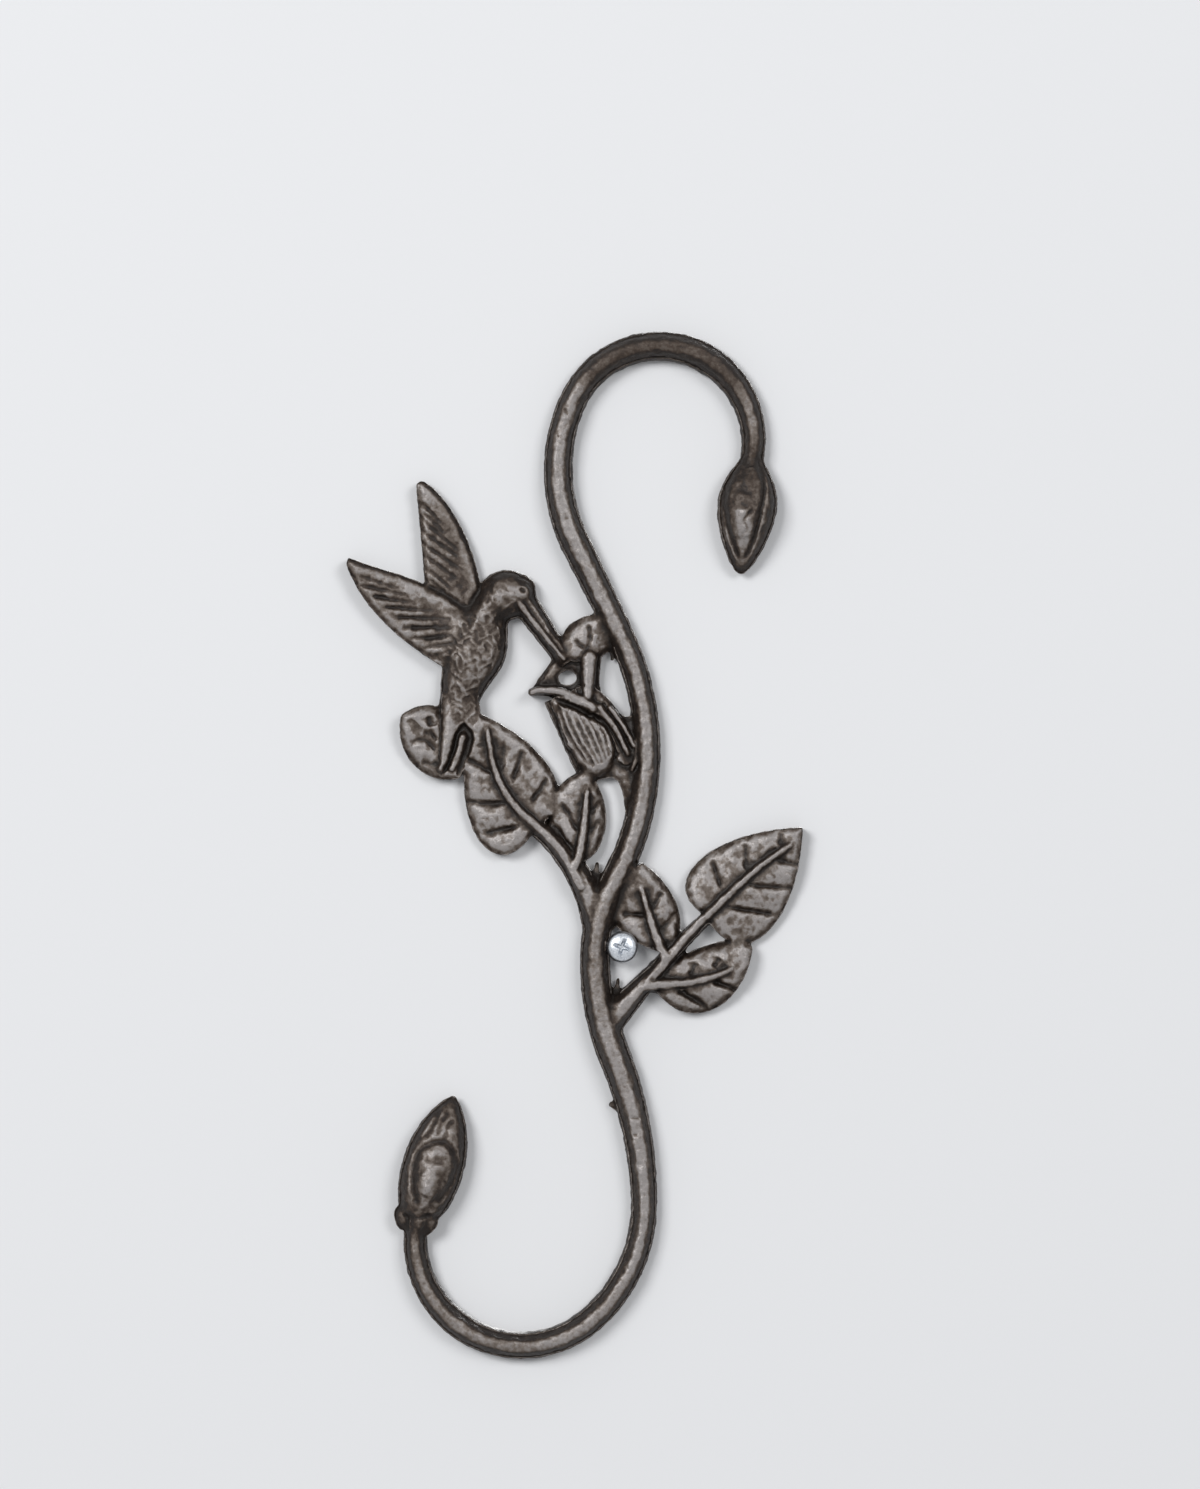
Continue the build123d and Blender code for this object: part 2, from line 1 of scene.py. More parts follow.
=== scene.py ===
"""Looks of a cast-iron wall hook for a hanging planter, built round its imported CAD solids."""

import logging
import math
from dataclasses import dataclass, field
from typing import Any, Sequence

import bpy
import numpy as np
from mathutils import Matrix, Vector
from mathutils.kdtree import KDTree


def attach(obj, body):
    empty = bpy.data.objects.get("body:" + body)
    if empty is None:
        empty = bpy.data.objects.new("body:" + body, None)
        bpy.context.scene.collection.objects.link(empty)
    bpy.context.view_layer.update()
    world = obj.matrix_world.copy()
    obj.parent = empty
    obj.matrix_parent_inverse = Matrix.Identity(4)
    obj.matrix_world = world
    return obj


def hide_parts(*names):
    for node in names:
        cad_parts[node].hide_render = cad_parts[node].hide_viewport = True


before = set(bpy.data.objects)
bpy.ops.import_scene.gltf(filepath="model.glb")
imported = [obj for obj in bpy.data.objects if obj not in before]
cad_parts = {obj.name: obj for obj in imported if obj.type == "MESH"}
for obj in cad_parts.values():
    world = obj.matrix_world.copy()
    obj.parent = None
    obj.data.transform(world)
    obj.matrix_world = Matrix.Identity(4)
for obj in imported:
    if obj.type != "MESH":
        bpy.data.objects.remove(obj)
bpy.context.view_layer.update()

log = logging.getLogger("planter_wall_hook")

MM = 0.001
BODY = "root"
QUARTER_TURN = math.pi / 2

# Points of a mesh that are nearer than this are one point, in metres.
MERGE = 1e-6

# Middle of the trunk in the frame, from which all carving is measured, in millimetres.
TRUNK_X = -6.7
TRUNK_Z = -3.2

Path = Sequence[tuple[float, float]]


def linear(colour: str) -> tuple[float, float, float, float]:
    """Turns a written sRGB colour into the linear one that shaders take.

    Args:
        colour: Six hex digits.

    Returns:
        Linear red, green, blue and a full alpha.
    """
    shares = [int(colour[i:i + 2], 16) / 255 for i in (0, 2, 4)]
    lit = [s / 12.92 if s <= 0.04045 else ((s + 0.055) / 1.055) ** 2.4 for s in shares]
    return lit[0], lit[1], lit[2], 1.0


def add_node(tree: Any, kind: str, inputs: dict[Any, Any] | None = None,
             stops: Sequence[tuple[float, str]] = (), **settings: Any) -> Any:
    """Adds one shader node with its settings, values and links.

    Args:
        tree: The node tree.
        kind: The node's type name.
        inputs: Values, or output sockets to link, by input name or number.
        stops: Places from 0 to 1 and their hex colours, where the node has a colour ramp.
        **settings: Attributes of the node.

    Returns:
        The node.
    """
    node = tree.nodes.new(kind)
    for name, value in settings.items():
        setattr(node, name, value)
    for name, value in (inputs or {}).items():
        if isinstance(value, bpy.types.NodeSocket):
            tree.links.new(value, node.inputs[name])
        else:
            node.inputs[name].default_value = value
    for number, (share, colour) in enumerate(stops):
        elements = node.color_ramp.elements
        element = elements[number] if number < len(elements) else elements.new(share)
        element.position = share
        element.color = linear(colour)
    return node


def seen_rays(tree: Any) -> Any:
    """Tells the rays that see the pale background from those that only carry light.

    Args:
        tree: The node tree of the wall or the sky.

    Returns:
        An output that is 1 for the camera's rays and for those that metal or glass sends on.
    """
    rays = add_node(tree, "ShaderNodeLightPath").outputs
    seen = rays["Is Camera Ray"]
    for kind in ("Is Glossy Ray", "Is Transmission Ray"):
        seen = add_node(tree, "ShaderNodeMath", {0: seen, 1: rays[kind]},
                        operation="MAXIMUM").outputs[0]
    return seen


def new_material(name: str) -> tuple[Any, Any, Any]:
    """Starts a material.

    Args:
        name: The material's name.

    Returns:
        The material, its node tree and its surface shader.
    """
    material = bpy.data.materials.new(name)
    material.use_nodes = True
    tree = material.node_tree
    return material, tree, tree.nodes["Principled BSDF"]


def deselect() -> None:
    """Leaves edit mode and deselects every object."""
    if bpy.context.object and bpy.context.object.mode != "OBJECT":
        bpy.ops.object.mode_set(mode="OBJECT")
    bpy.ops.object.select_all(action="DESELECT")


def activate(piece: Any) -> None:
    """Makes one piece the only selected and the active one.

    Args:
        piece: The object.
    """
    deselect()
    piece.hide_set(False)
    piece.select_set(True)
    bpy.context.view_layer.objects.active = piece


def apply_modifier(piece: Any, kind: str, **settings: Any) -> None:
    """Adds a modifier to a piece and applies it.

    Args:
        piece: The object.
        kind: The modifier's type name.
        **settings: Attributes of the modifier.
    """
    activate(piece)
    bpy.ops.object.modifier_add(type=kind)
    modifier = piece.modifiers[-1]
    for name, value in settings.items():
        setattr(modifier, name, value)
    bpy.ops.object.modifier_apply(modifier=modifier.name)


def place(piece: Any) -> None:
    """Puts a piece's place, turn and size into its mesh."""
    activate(piece)
    bpy.ops.object.transform_apply(location=True, rotation=True, scale=True)


def join(pieces: Sequence[Any]) -> Any:
    """Joins pieces into the first one.

    Args:
        pieces: The objects.

    Returns:
        The joined object.
    """
    activate(pieces[0])
    for piece in pieces:
        piece.select_set(True)
    bpy.ops.object.join()
    return pieces[0]


def smooth_step(low: float, high: float, values: np.ndarray) -> np.ndarray:
    """Eases values from 0 at low to 1 at high."""
    share = np.clip((values - low) / (high - low), 0, 1)
    return share * share * (3 - 2 * share)


def flowing(points: Path, steps: int = 6) -> np.ndarray:
    """Runs a smooth line through a few points.

    Args:
        points: Places on the wall plane, in millimetres.
        steps: Points made between each two.

    Returns:
        The points of the line.
    """
    given = np.array(points, float)
    if len(given) < 3:
        return given
    ends = np.vstack([2 * given[0] - given[1], given, 2 * given[-1] - given[-2]])
    line = []
    for before, here, after, beyond in zip(ends, ends[1:], ends[2:], ends[3:]):
        for t in np.arange(steps) / steps:
            line.append(0.5 * (
                2 * here + (after - before) * t
                + (2 * before - 5 * here + 4 * after - beyond) * t ** 2
                + (3 * here - before - 3 * after + beyond) * t ** 3))
    return np.array([*line, given[-1]])


@dataclass(frozen=True)
class AntiquedIron:
    """Sand-cast grey iron under dark brown lacquer that was rubbed back by hand.

    The grain of the sand breaks the sheen up, and the high places show a greyer, smoother metal.
    The hollows are darkened, painted shade over the dark lacquer and dust that they hold. Faces
    turned straight off the wall are painted lighter and the flanks darker, painted light and shade
    over the rubbing, and some stretches carry painted highlights and painted shade. Moulding sand
    is about 0.3 mm, too fine to show in the render, so its grain is drawn three times as coarse.
    """

    # The hollow colour darkens the hollows, painted shade over the dark lacquer that gathers there.
    hollow: str = "18120e"
    lacquer: str = "1f1814"
    warm: str = "3c3129"
    rubbed_and_lit: str = "665d56"
    bright: str = "8f8a88"
    # Wear, with painted light on the front faces, at which the lacquer, warm, rubbed and bright
    # colours stand; the rubbed and bright colours serve as painted highlight too.
    wear_and_light_stops: tuple[float, float, float, float] = (0.0, 0.30, 0.68, 1.0)
    grain_mm: float = 0.9
    mottle_mm: float = 2.4
    blotch_mm: float = 9.0
    noise_detail: float = 3.0
    noise_roughness: float = 0.6
    # How much of each pattern goes into the wear and painted light, and what brings the sum back to
    # the middle.
    grain_share: float = 0.8
    mottle_share: float = 0.5
    blotch_share: float = 0.4
    grain_shift: float = -0.4
    wear_and_light_shift: float = 0.45
    bump_mm: float = 0.2
    bump_strength: float = 0.8
    lacquer_roughness: float = 0.50
    bright_roughness: float = 0.36
    metallic: float = 0.2
    specular: float = 0.3

    def make(self) -> Any:
        """Builds the material.

        Returns:
            The material.
        """
        material, tree, shader = new_material("antiqued_cast_iron")
        coords = add_node(tree, "ShaderNodeTexCoord").outputs["Object"]
        rub_and_light, recess = (
            add_node(tree, "ShaderNodeAttribute", attribute_name=name).outputs["Fac"]
            for name in ("rub_and_light", "recess"))
        grain, mottle, blotch = (
            add_node(tree, "ShaderNodeTexNoise", {
                "Vector": coords, "Scale": 1 / (size * MM), "Detail": self.noise_detail,
                "Roughness": self.noise_roughness,
            }).outputs["Fac"] for size in (self.grain_mm, self.mottle_mm, self.blotch_mm))
        broken = add_node(
            tree, "ShaderNodeMath", {0: grain, 1: self.grain_share, 2: self.grain_shift},
            operation="MULTIPLY_ADD").outputs[0]
        strewn = broken
        for pattern, share in ((mottle, self.mottle_share), (blotch, self.blotch_share)):
            strewn = add_node(tree, "ShaderNodeMath", {0: pattern, 1: share, 2: strewn},
                              operation="MULTIPLY_ADD").outputs[0]
        # The rub attribute is wear and painted light: front faces lighter, flanks darker as painted
        # shade, and painted highlights on some stretches.
        level = add_node(tree, "ShaderNodeMath", {0: rub_and_light, 1: self.wear_and_light_shift},
                         operation="SUBTRACT").outputs[0]
        worn_and_lit = add_node(tree, "ShaderNodeMath", {0: level, 1: strewn}, operation="ADD",
                        use_clamp=True).outputs[0]
        colours = (self.lacquer, self.warm, self.rubbed_and_lit, self.bright)
        colour = add_node(tree, "ShaderNodeValToRGB", {"Fac": worn_and_lit},
                          stops=tuple(zip(self.wear_and_light_stops, colours))).outputs["Color"]
        # Painted shade: the recess attribute mixes the hollows towards the hollow colour, over the
        # dark lacquer that gathers there.
        depth = add_node(tree, "ShaderNodeMath", {0: recess, 1: broken}, operation="ADD",
                         use_clamp=True).outputs[0]
        shade_and_dirt = add_node(tree, "ShaderNodeMix", {
            0: depth, 6: colour, 7: linear(self.hollow)}, data_type="RGBA")
        tree.links.new(shade_and_dirt.outputs[2], shader.inputs["Base Color"])
        gloss = add_node(tree, "ShaderNodeMapRange", {
            "Value": worn_and_lit, "To Min": self.lacquer_roughness, "To Max": self.bright_roughness})
        tree.links.new(gloss.outputs["Result"], shader.inputs["Roughness"])
        bump = add_node(tree, "ShaderNodeBump", {
            "Height": grain, "Distance": self.bump_mm * MM, "Strength": self.bump_strength})
        tree.links.new(bump.outputs["Normal"], shader.inputs["Normal"])
        shader.inputs["Metallic"].default_value = self.metallic
        shader.inputs["Specular IOR Level"].default_value = self.specular
        return material


@dataclass(frozen=True)
class ZincPlate:
    """Bright zinc plating on a rolled steel screw, with faint blue passivation and drawn marks.

    It gives bright, slightly blurred reflections that the marks break into soft patches. Real
    marks are under a tenth of a millimetre wide, too fine to show in the render, so they are
    drawn coarser.
    """

    plate: str = "c9cdd2"
    dull: str = "9ea3aa"
    # Strength of the marks at which the dull and the plate colours stand.
    mark_stops: tuple[float, float] = (0.3, 0.62)
    mark_mm: float = 0.35
    mark_detail: float = 3.0
    least_roughness: float = 0.24
    most_roughness: float = 0.4
    bump_mm: float = 0.03
    bump_strength: float = 0.3
    metallic: float = 1.0

    def make(self) -> Any:
        """Builds the material.

        Returns:
            The material.
        """
        material, tree, shader = new_material("bright_zinc_plate")
        coords = add_node(tree, "ShaderNodeTexCoord").outputs["Object"]
        marks = add_node(tree, "ShaderNodeTexNoise", {
            "Vector": coords, "Scale": 1 / (self.mark_mm * MM), "Detail": self.mark_detail,
        }).outputs["Fac"]
        colours = (self.dull, self.plate)
        colour = add_node(tree, "ShaderNodeValToRGB", {"Fac": marks},
                          stops=tuple(zip(self.mark_stops, colours))).outputs["Color"]
        tree.links.new(colour, shader.inputs["Base Color"])
        gloss = add_node(tree, "ShaderNodeMapRange", {
            "Value": marks, "To Min": self.least_roughness, "To Max": self.most_roughness})
        tree.links.new(gloss.outputs["Result"], shader.inputs["Roughness"])
        bump = add_node(tree, "ShaderNodeBump", {
            "Height": marks, "Distance": self.bump_mm * MM, "Strength": self.bump_strength})
        tree.links.new(bump.outputs["Normal"], shader.inputs["Normal"])
        shader.inputs["Metallic"].default_value = self.metallic
        return material


@dataclass(frozen=True)
class PaleWall:
    """Matt white wall paint, an even ground that takes the hook's soft shadow.

    It shows only from its painted side, so the hook's back can be seen.
    """

    paint: str = "e6e7e9"
    roughness: float = 0.9
    specular: float = 0.2

    def make(self) -> Any:
        """Builds the material.

        Returns:
            The material.
        """
        material, tree, shader = new_material("matt_wall_paint")
        shader.inputs["Base Color"].default_value = linear(self.paint)
        shader.inputs["Roughness"].default_value = self.roughness
        shader.inputs["Specular IOR Level"].default_value = self.specular
        back = add_node(tree, "ShaderNodeNewGeometry").outputs["Backfacing"]
        shown = add_node(tree, "ShaderNodeMath", {0: seen_rays(tree), 1: back},
                         operation="SUBTRACT", use_clamp=True).outputs[0]
        clear = add_node(tree, "ShaderNodeBsdfTransparent").outputs[0]
        mixed = add_node(tree, "ShaderNodeMixShader", {
            0: shown, 1: clear, 2: shader.outputs[0]}).outputs[0]
        tree.links.new(mixed, tree.nodes["Material Output"].inputs["Surface"])
        return material


class Relief:
    """The casting's skin as arrays, carved from the front by strokes laid on the wall plane.

    Heights are millimetres off the wall. A facing is 1 straight off the wall and -1 into it.
    """

    # Facings and heights over which the front begins, where strokes work.
    front_facing: tuple[float, float] = (0.25, 0.75)
    front_height: tuple[float, float] = (0.6, 1.4)
    # Height above which rolls and channels work.
    least: float = 1.6
    # Half widths after which a stroke, and a softened or rubbed band, has faded out.
    stroke_reach: int = 3
    band_reach: int = 2
    # Share of a line, a little before its start, at which it begins to fade in.
    fade_start: float = -0.02
    # How far a softened point goes towards the average in one round.
    soft_step: float = 0.5
    # Facing under which the skin is a rim's side, and the least heights of sides and flats.
    rim_facing: float = 0.35
    side_least: float = 0.8
    flat_least: float = 1.0
    # How much a difference in height counts in the distance from a rim.
    rim_height_share: float = 0.2
    # How rows and columns of scales wander: reach, pace, and the bend's reach and pace.
    row_sway: tuple[float, float, float, float] = (0.45, 1.3, 1.4, 0.9)
    column_sway: tuple[float, float, float, float] = (0.4, 1.1, 1.7, 0.8)
    # How far a scale's sides are drawn back, the level it is cut from and the faded border.
    scale_point: float = 0.9
    scale_level: float = 0.4
    scale_border: float = 0.25
    # Facings of the front, which is rubbed and painted lighter so that the flanks read as painted
    # shade, and of the ground back, and heights over and under the average.
    rub_and_light_facing: tuple[float, float] = (0.5, 0.99)
    ground_facing: tuple[float, float] = (0.8, 0.99)
    proud_mm: tuple[float, float] = (-0.02, 0.22)
    sunk_mm: tuple[float, float] = (0.03, 0.30)
    # Wear and painted light of the front, wear of its proud places, of all proud places and of the
    # back.
    front_rub_and_light: float = 0.45
    proud_rub: float = 0.5
    edge_rub: float = 0.12
    ground_rub: float = 0.30

    def __init__(self, mesh: Any) -> None:
        """Reads a mesh.

        Args:
            mesh: The mesh to carve.
        """
        self.mesh = mesh
        count = len(mesh.vertices)
        places = np.empty(count * 3, np.float32)
        mesh.vertices.foreach_get("co", places)
        self.points = places.reshape(-1, 3).astype(float)
        normals = np.empty(count * 3, np.float32)
        mesh.vertex_normals.foreach_get("vector", normals)
        self.normals = normals.reshape(-1, 3).astype(float)
        self.wall = np.column_stack([
            self.points[:, 0] / MM - TRUNK_X, self.points[:, 2] / MM - TRUNK_Z])
        self.height = -self.points[:, 1] / MM
        self.facing = -self.normals[:, 1]
        self.front = (smooth_step(*self.front_facing, self.facing)
                      * smooth_step(*self.front_height, self.height))

    def near(self, line: np.ndarray, margin: float) -> tuple[np.ndarray, np.ndarray, np.ndarray]:
        """Finds how far the skin lies from a line.

        Args:
            line: Points of the line, in millimetres.
            margin: The greatest distance of use.

        Returns:
            Numbers of the points in reach, their distances, and their shares of the line's length.
        """
        low, high = line.min(0) - margin, line.max(0) + margin
        picked = np.flatnonzero(np.all((self.wall > low) & (self.wall < high), axis=1))
        spots = self.wall[picked]
        runs = np.linalg.norm(np.diff(line, axis=0), axis=1)
        total, done = runs.sum(), 0.0
        distance, share = np.full(len(picked), np.inf), np.zeros(len(picked))
        for start, end, run in zip(line, line[1:], runs):
            along = np.clip((spots - start) @ (end - start) / run ** 2, 0, 1)
            away = np.linalg.norm(spots - start - along[:, None] * (end - start), axis=1)
            closer = away < distance
            distance[closer] = away[closer]
            share[closer] = (done + along[closer] * run) / total
            done += run
        return picked, distance, share

    def stroke(self, points: Path, half: float, rise: float, fade: float) -> None:
        """Raises or sinks a soft-edged band along a line.

        Args:
            points: The line, in millimetres from the trunk.
            half: Half of the band's width.
            rise: Height gained in the middle, below zero for a groove.
            fade: Share of the line over which each end fades out.
        """
        picked, distance, share = self.near(flowing(points), self.stroke_reach * half)
        weight = np.exp(-(distance / half) ** 2) * self.front[picked]
        if fade:
            weight *= (smooth_step(self.fade_start, fade, share)
                       * smooth_step(self.fade_start, fade, 1 - share))
        self.points[picked, 1] -= rise * weight * MM

    def level(self, points: Path, half: tuple[float, float], middle: tuple[float, float],
              fall: float, shoulder: float) -> None:
        """Brings a band of the skin up to a rounded roll, or down to a rounded channel.

        Args:
            points: The line, in millimetres from the trunk.
            half: Half of the band's width at the line's start and end.
            middle: Height off the wall along the line, at its start and end.
            fall: Height gained from the middle to the band's edge, below zero for a roll.
            shoulder: How square the section is, 2 for a round one.
        """
        picked, distance, share = self.near(flowing(points), max(half))
        wide = half[0] + share * (half[1] - half[0])
        within = (distance < wide) & (self.height[picked] > self.least)
        picked, distance, share, wide = (
            values[within] for values in (picked, distance, share, wide))
        target = middle[0] + share * (middle[1] - middle[0])
        target += fall * (1 - np.sqrt(1 - (distance / wide) ** shoulder))
        now = -self.points[picked, 1] / MM
        found = np.minimum(now, target) if fall > 0 else np.maximum(now, target)
        self.points[picked, 1] = -found * MM

    def roll_edges(self, half: float, drop: float) -> None:
        """Rounds the rims of all flat forms over.

        Args:
            half: How far in from the rim the rounding reaches.
            drop: How much the rim itself is lowered.
        """
        spots = np.column_stack([self.wall, self.rim_height_share * self.height])
        side = np.flatnonzero((self.facing < self.rim_facing) & (self.height > self.side_least))
        flat = np.flatnonzero((self.facing > self.rim_facing) & (self.height > self.flat_least))
        rim = KDTree(len(side))
        for number in side:
            rim.insert(spots[number], number)
        rim.balance()
        for number in flat:
            distance = rim.find(spots[number])[2]
            if distance < self.stroke_reach * half:
                self.points[number, 1] += drop * math.exp(-(distance / half) ** 2) * MM

    def scales(self, points: Path, half: float, pitch: float, rise: float) -> None:
        """Lays overlapping feather scales along a line.

        Args:
            points: The line that the rows follow, from the tail to the head.
            half: Half of the width that is covered.
            pitch: Length and width of one scale.
            rise: How far the tip of a scale stands off the next row.
        """
        line = flowing(points)
        picked, distance, share = self.near(line, half)
        length = np.linalg.norm(np.diff(line, axis=0), axis=1).sum()
        nearest = np.clip((share * (len(line) - 1)).round().astype(int), 0, len(line) - 1)
        ahead = np.gradient(line, axis=0)[nearest]
        away = self.wall[picked] - line[nearest]
        side = np.sign(ahead[:, 0] * away[:, 1] - ahead[:, 1] * away[:, 0])
        aslant, aloft = self.wall[picked].T
        along = share * length / pitch + self.sway(self.row_sway, aslant, aloft)
        across = side * distance / pitch + self.sway(self.column_sway, aloft, aslant)
        best = np.zeros(len(picked))
        for row in range(2):
            number = np.floor(along) + row
            shift = (number % 2) / 2
            column = across - np.floor(across + shift + 0.5) + shift
            column = np.clip(column, -0.5, 0.5)
            tip = along - number + 1.0 - self.scale_point * column ** 2
            best = np.maximum(best, np.where((tip > 0) & (tip < 1.0), 1.0 - tip, 0.0))
        weight = smooth_step(0, self.scale_border, 1 - distance / half) * self.front[picked]
        self.points[picked, 1] -= rise * (best - self.scale_level) * weight * MM

    @staticmethod
    def sway(wander: tuple[float, float, float, float], here: np.ndarray,
             there: np.ndarray) -> np.ndarray:
        """Makes rows wander as hand-cut ones do.

        Args:
            wander: Reach and pace of the wandering, and reach and pace of its bend.
            here: Places along which the rows wander.
            there: Places along which the wandering bends.

        Returns:
            How far each place is off, in rows.
        """
        reach, pace, bend, bend_pace = wander
        return reach * np.sin(pace * here + bend * np.sin(bend_pace * there))

    def write(self) -> None:
        """Puts the carved points back into the mesh."""
        self.mesh.vertices.foreach_set("co", self.points.astype(np.float32).ravel())
        self.mesh.update()

    def soften(self, points: Path, half: float, rounds: int) -> None:
        """Smooths a band of the skin along a line, so that its forms flow into each other.

        Args:
            points: The line, in millimetres from the trunk.
            half: Half of the band's width.
            rounds: How often the skin is averaged.
        """
        picked, distance, _ = self.near(flowing(points), self.band_reach * half)
        share = np.zeros(len(self.points))
        share[picked] = np.exp(-(distance / half) ** 2) * self.front[picked]
        for _ in range(rounds):
            gap = self.averaged(self.points, 1) - self.points
            self.points += share[:, None] * self.soft_step * gap

    def averaged(self, places: np.ndarray, rounds: int) -> np.ndarray:
        """Averages each point with its neighbours.

        Args:
            places: The points.
            rounds: How often.

        Returns:
            The averaged points.
        """
        edges = np.empty(len(self.mesh.edges) * 2, np.int32)
        self.mesh.edges.foreach_get("vertices", edges)
        one, two = edges.reshape(-1, 2).T
        count = len(places)
        valence = np.maximum(np.bincount(edges, minlength=count), 1)
        mean = places.copy()
        for _ in range(rounds):
            total = np.column_stack([
                np.bincount(one, mean[two, axis], count) + np.bincount(two, mean[one, axis], count)
                for axis in range(3)])
            mean = total / valence[:, None]
        return mean

    def wear_and_shading(self, patches: Sequence["Patina"], rounds: int = 14) -> None:
        """Works out where the skin stands proud or lies deep, and keeps both as attributes: the
        rub, wear with painted light on the front faces, and the recess, painted shade in the
        hollows.

        Args:
            patches: Stretches painted lighter or darker, for more or less rubbing and for painted
                highlights and shade.
            rounds: How often the skin is averaged to find its general run.
        """
        mean = self.averaged(self.points, rounds)
        sunk = np.einsum("ij,ij->i", mean - self.points, self.normals) / MM
        front = smooth_step(*self.rub_and_light_facing, self.facing)
        proud = smooth_step(*self.proud_mm, -sunk)
        ground = smooth_step(*self.ground_facing, -self.facing)
        # Painted light: faces turned straight off the wall come out lighter and the flanks darker,
        # painted shade, beside the rubbing of proud places and of the ground back.
        rub_and_light = (front * (self.front_rub_and_light + self.proud_rub * proud) + self.edge_rub * proud
               + self.ground_rub * ground)
        for patch in patches:
            picked, distance, _ = self.near(flowing(patch.points), self.band_reach * patch.half)
            fade = np.exp(-(distance / patch.half) ** 2) * (1 - ground[picked])
            rub_and_light[picked] += patch.change * fade
        rub_and_light = np.clip(rub_and_light, 0, 1)
        # Painted shade: the recess marks the hollows that the material darkens.
        recess = smooth_step(*self.sunk_mm, sunk)
        for name, values in (("rub_and_light", rub_and_light), ("recess", recess)):
            attribute = self.mesh.attributes.new(name, "FLOAT", "POINT")
            attribute.data.foreach_set("value", values.astype(np.float32))


@dataclass(frozen=True)
class Tool:
    """A carver's tool: half the width of its mark, the rise it leaves, and the share that fades."""

    half: float
    rise: float
    fade: float = 0.12

    def cut(self, relief: Relief, *lines: Path) -> None:
        """Works a mark into the skin along each line."""
        for line in lines:
            relief.stroke(line, self.half, self.rise, self.fade)


@dataclass(frozen=True)
class Roll:
    """A rounded roll of metal: its line, and its half widths and crest heights at both ends."""

    points: Path
    half: tuple[float, float]
    crest: tuple[float, float]
    depth: float = 1.2
    shoulder: float = 2.0

    def lay(self, relief: Relief) -> None:
        """Raises the skin to the roll where it lies lower."""
        relief.level(self.points, self.half, self.crest, -self.depth, self.shoulder)


@dataclass(frozen=True)
class Channel:
    """A round-bottomed channel: its line, and its half widths and floor heights at both ends."""

    points: Path
    half: tuple[float, float]
    floor: tuple[float, float]
    depth: float = 1.0
    shoulder: float = 2.0

    def cut(self, relief: Relief) -> None:
        """Lowers the skin to the channel where it lies higher."""
        relief.level(self.points, self.half, self.floor, self.depth, self.shoulder)


@dataclass(frozen=True)
class Patina:
    """A stretch painted lighter or darker, for lacquer rubbed more or less and for painted
    highlights and shade: its line, half width and change.
    """

    points: Path
    half: float
    change: float


@dataclass
class Bar:
    """The S-bar: a rounded crest, a fine step beside it, and nicks from the fettling file."""

    course: Path = (
        (-44.3, -65.3), (-44.0, -74.5), (-40.7, -82.9), (-34.7, -89.8), (-23.7, -95.0),
        (-11.5, -94.8), (-0.8, -89.1), (6.3, -80.8), (10.8, -70.9), (12.2, -60.1), (11.3, -48.4),
        (9.1, -36.9), (5.6, -25.8), (4.0, -21.5), (1.0, -10.9), (0.0, 0.0), (1.3, 10.4),
        (5.1, 20.2), (9.4, 30.3), (12.1, 41.1), (12.9, 52.1), (11.9, 63.1), (9.6, 72.3),
        (6.0, 81.2), (0.6, 92.1), (-4.8, 103.1), (-8.5, 114.4), (-8.8, 126.2), (-5.8, 137.7),
        (0.1, 146.0), (9.0, 151.0), (19.1, 151.8), (28.6, 148.3), (35.2, 141.8), (38.8, 133.4),
        (38.9, 124.2))
    step: Path = (
        (5.6, -31.5), (6.7, -35.9), (7.7, -39.6), (8.4, -44.6), (9.2, -49.5), (9.8, -54.5),
        (10.3, -59.4), (10.2, -64.4), (9.4, -69.3), (7.9, -74.3), (6.0, -79.2))
    nicks: Sequence[Path] = (
        ((-8.2, 136.6), (-6.4, 134.7)),
        ((8.0, -38.9), (11.4, -39.3)),
        ((9.2, -42.9), (10.4, -43.3)),
        ((8.8, -50.3), (11.9, -50.6)),
        ((9.9, -58.2), (12.9, -58.0)),
        ((13.6, 62.0), (16.4, 62.4)),
        ((11.9, 46.6), (14.7, 46.9)),
    )
    crest_half: float = 3.4
    crest_rounds: int = 24
    scraper: Tool = Tool(0.5, -0.55, 0.2)
    file: Tool = Tool(0.35, -0.4, 0.2)

    def carve(self, relief: Relief) -> None:
        """Rounds the crest, sinks the step and cuts the nicks.

        Args:
            relief: The casting's skin.
        """
        relief.soften(self.course, self.crest_half, self.crest_rounds)
        self.scraper.cut(relief, self.step)
        self.file.cut(relief, *self.nicks)


@dataclass
class UpperBud:
    """The closed bud at the top hook: a middle petal between two side petals."""

    left_seam: Path = (
        (35.2, 123.3), (32.7, 118.8), (32.0, 112.6), (32.9, 106.4), (34.7, 101.5), (35.9, 97.8))
    right_seam: Path = (
        (39.9, 125.0), (41.4, 120.0), (41.9, 115.8), (40.9, 110.9), (39.9, 106.4), (38.4, 102.0),
        (36.4, 98.0))
    bulge: Path = ((35.9, 111.9), (36.4, 104.0))
    hollow: Path = ((37.9, 122.3), (37.1, 114.9))
    chip: Path = ((39.2, 111.6), (36.8, 108.6), (37.5, 106.4), (36.0, 104.6))
    filler: Tool = Tool(2.6, 0.8)
    gouge: Tool = Tool(2.2, -0.6)
    parting: Tool = Tool(0.55, -1.0)
    graver: Tool = Tool(0.45, -0.5)

    def carve(self, relief: Relief) -> None:
        """Cuts the petals apart and swells the middle one.

        Args:
            relief: The casting's skin.
        """
        self.filler.cut(relief, self.bulge)
        self.gouge.cut(relief, self.hollow)
        self.parting.cut(relief, self.left_seam, self.right_seam)
        self.graver.cut(relief, self.chip)


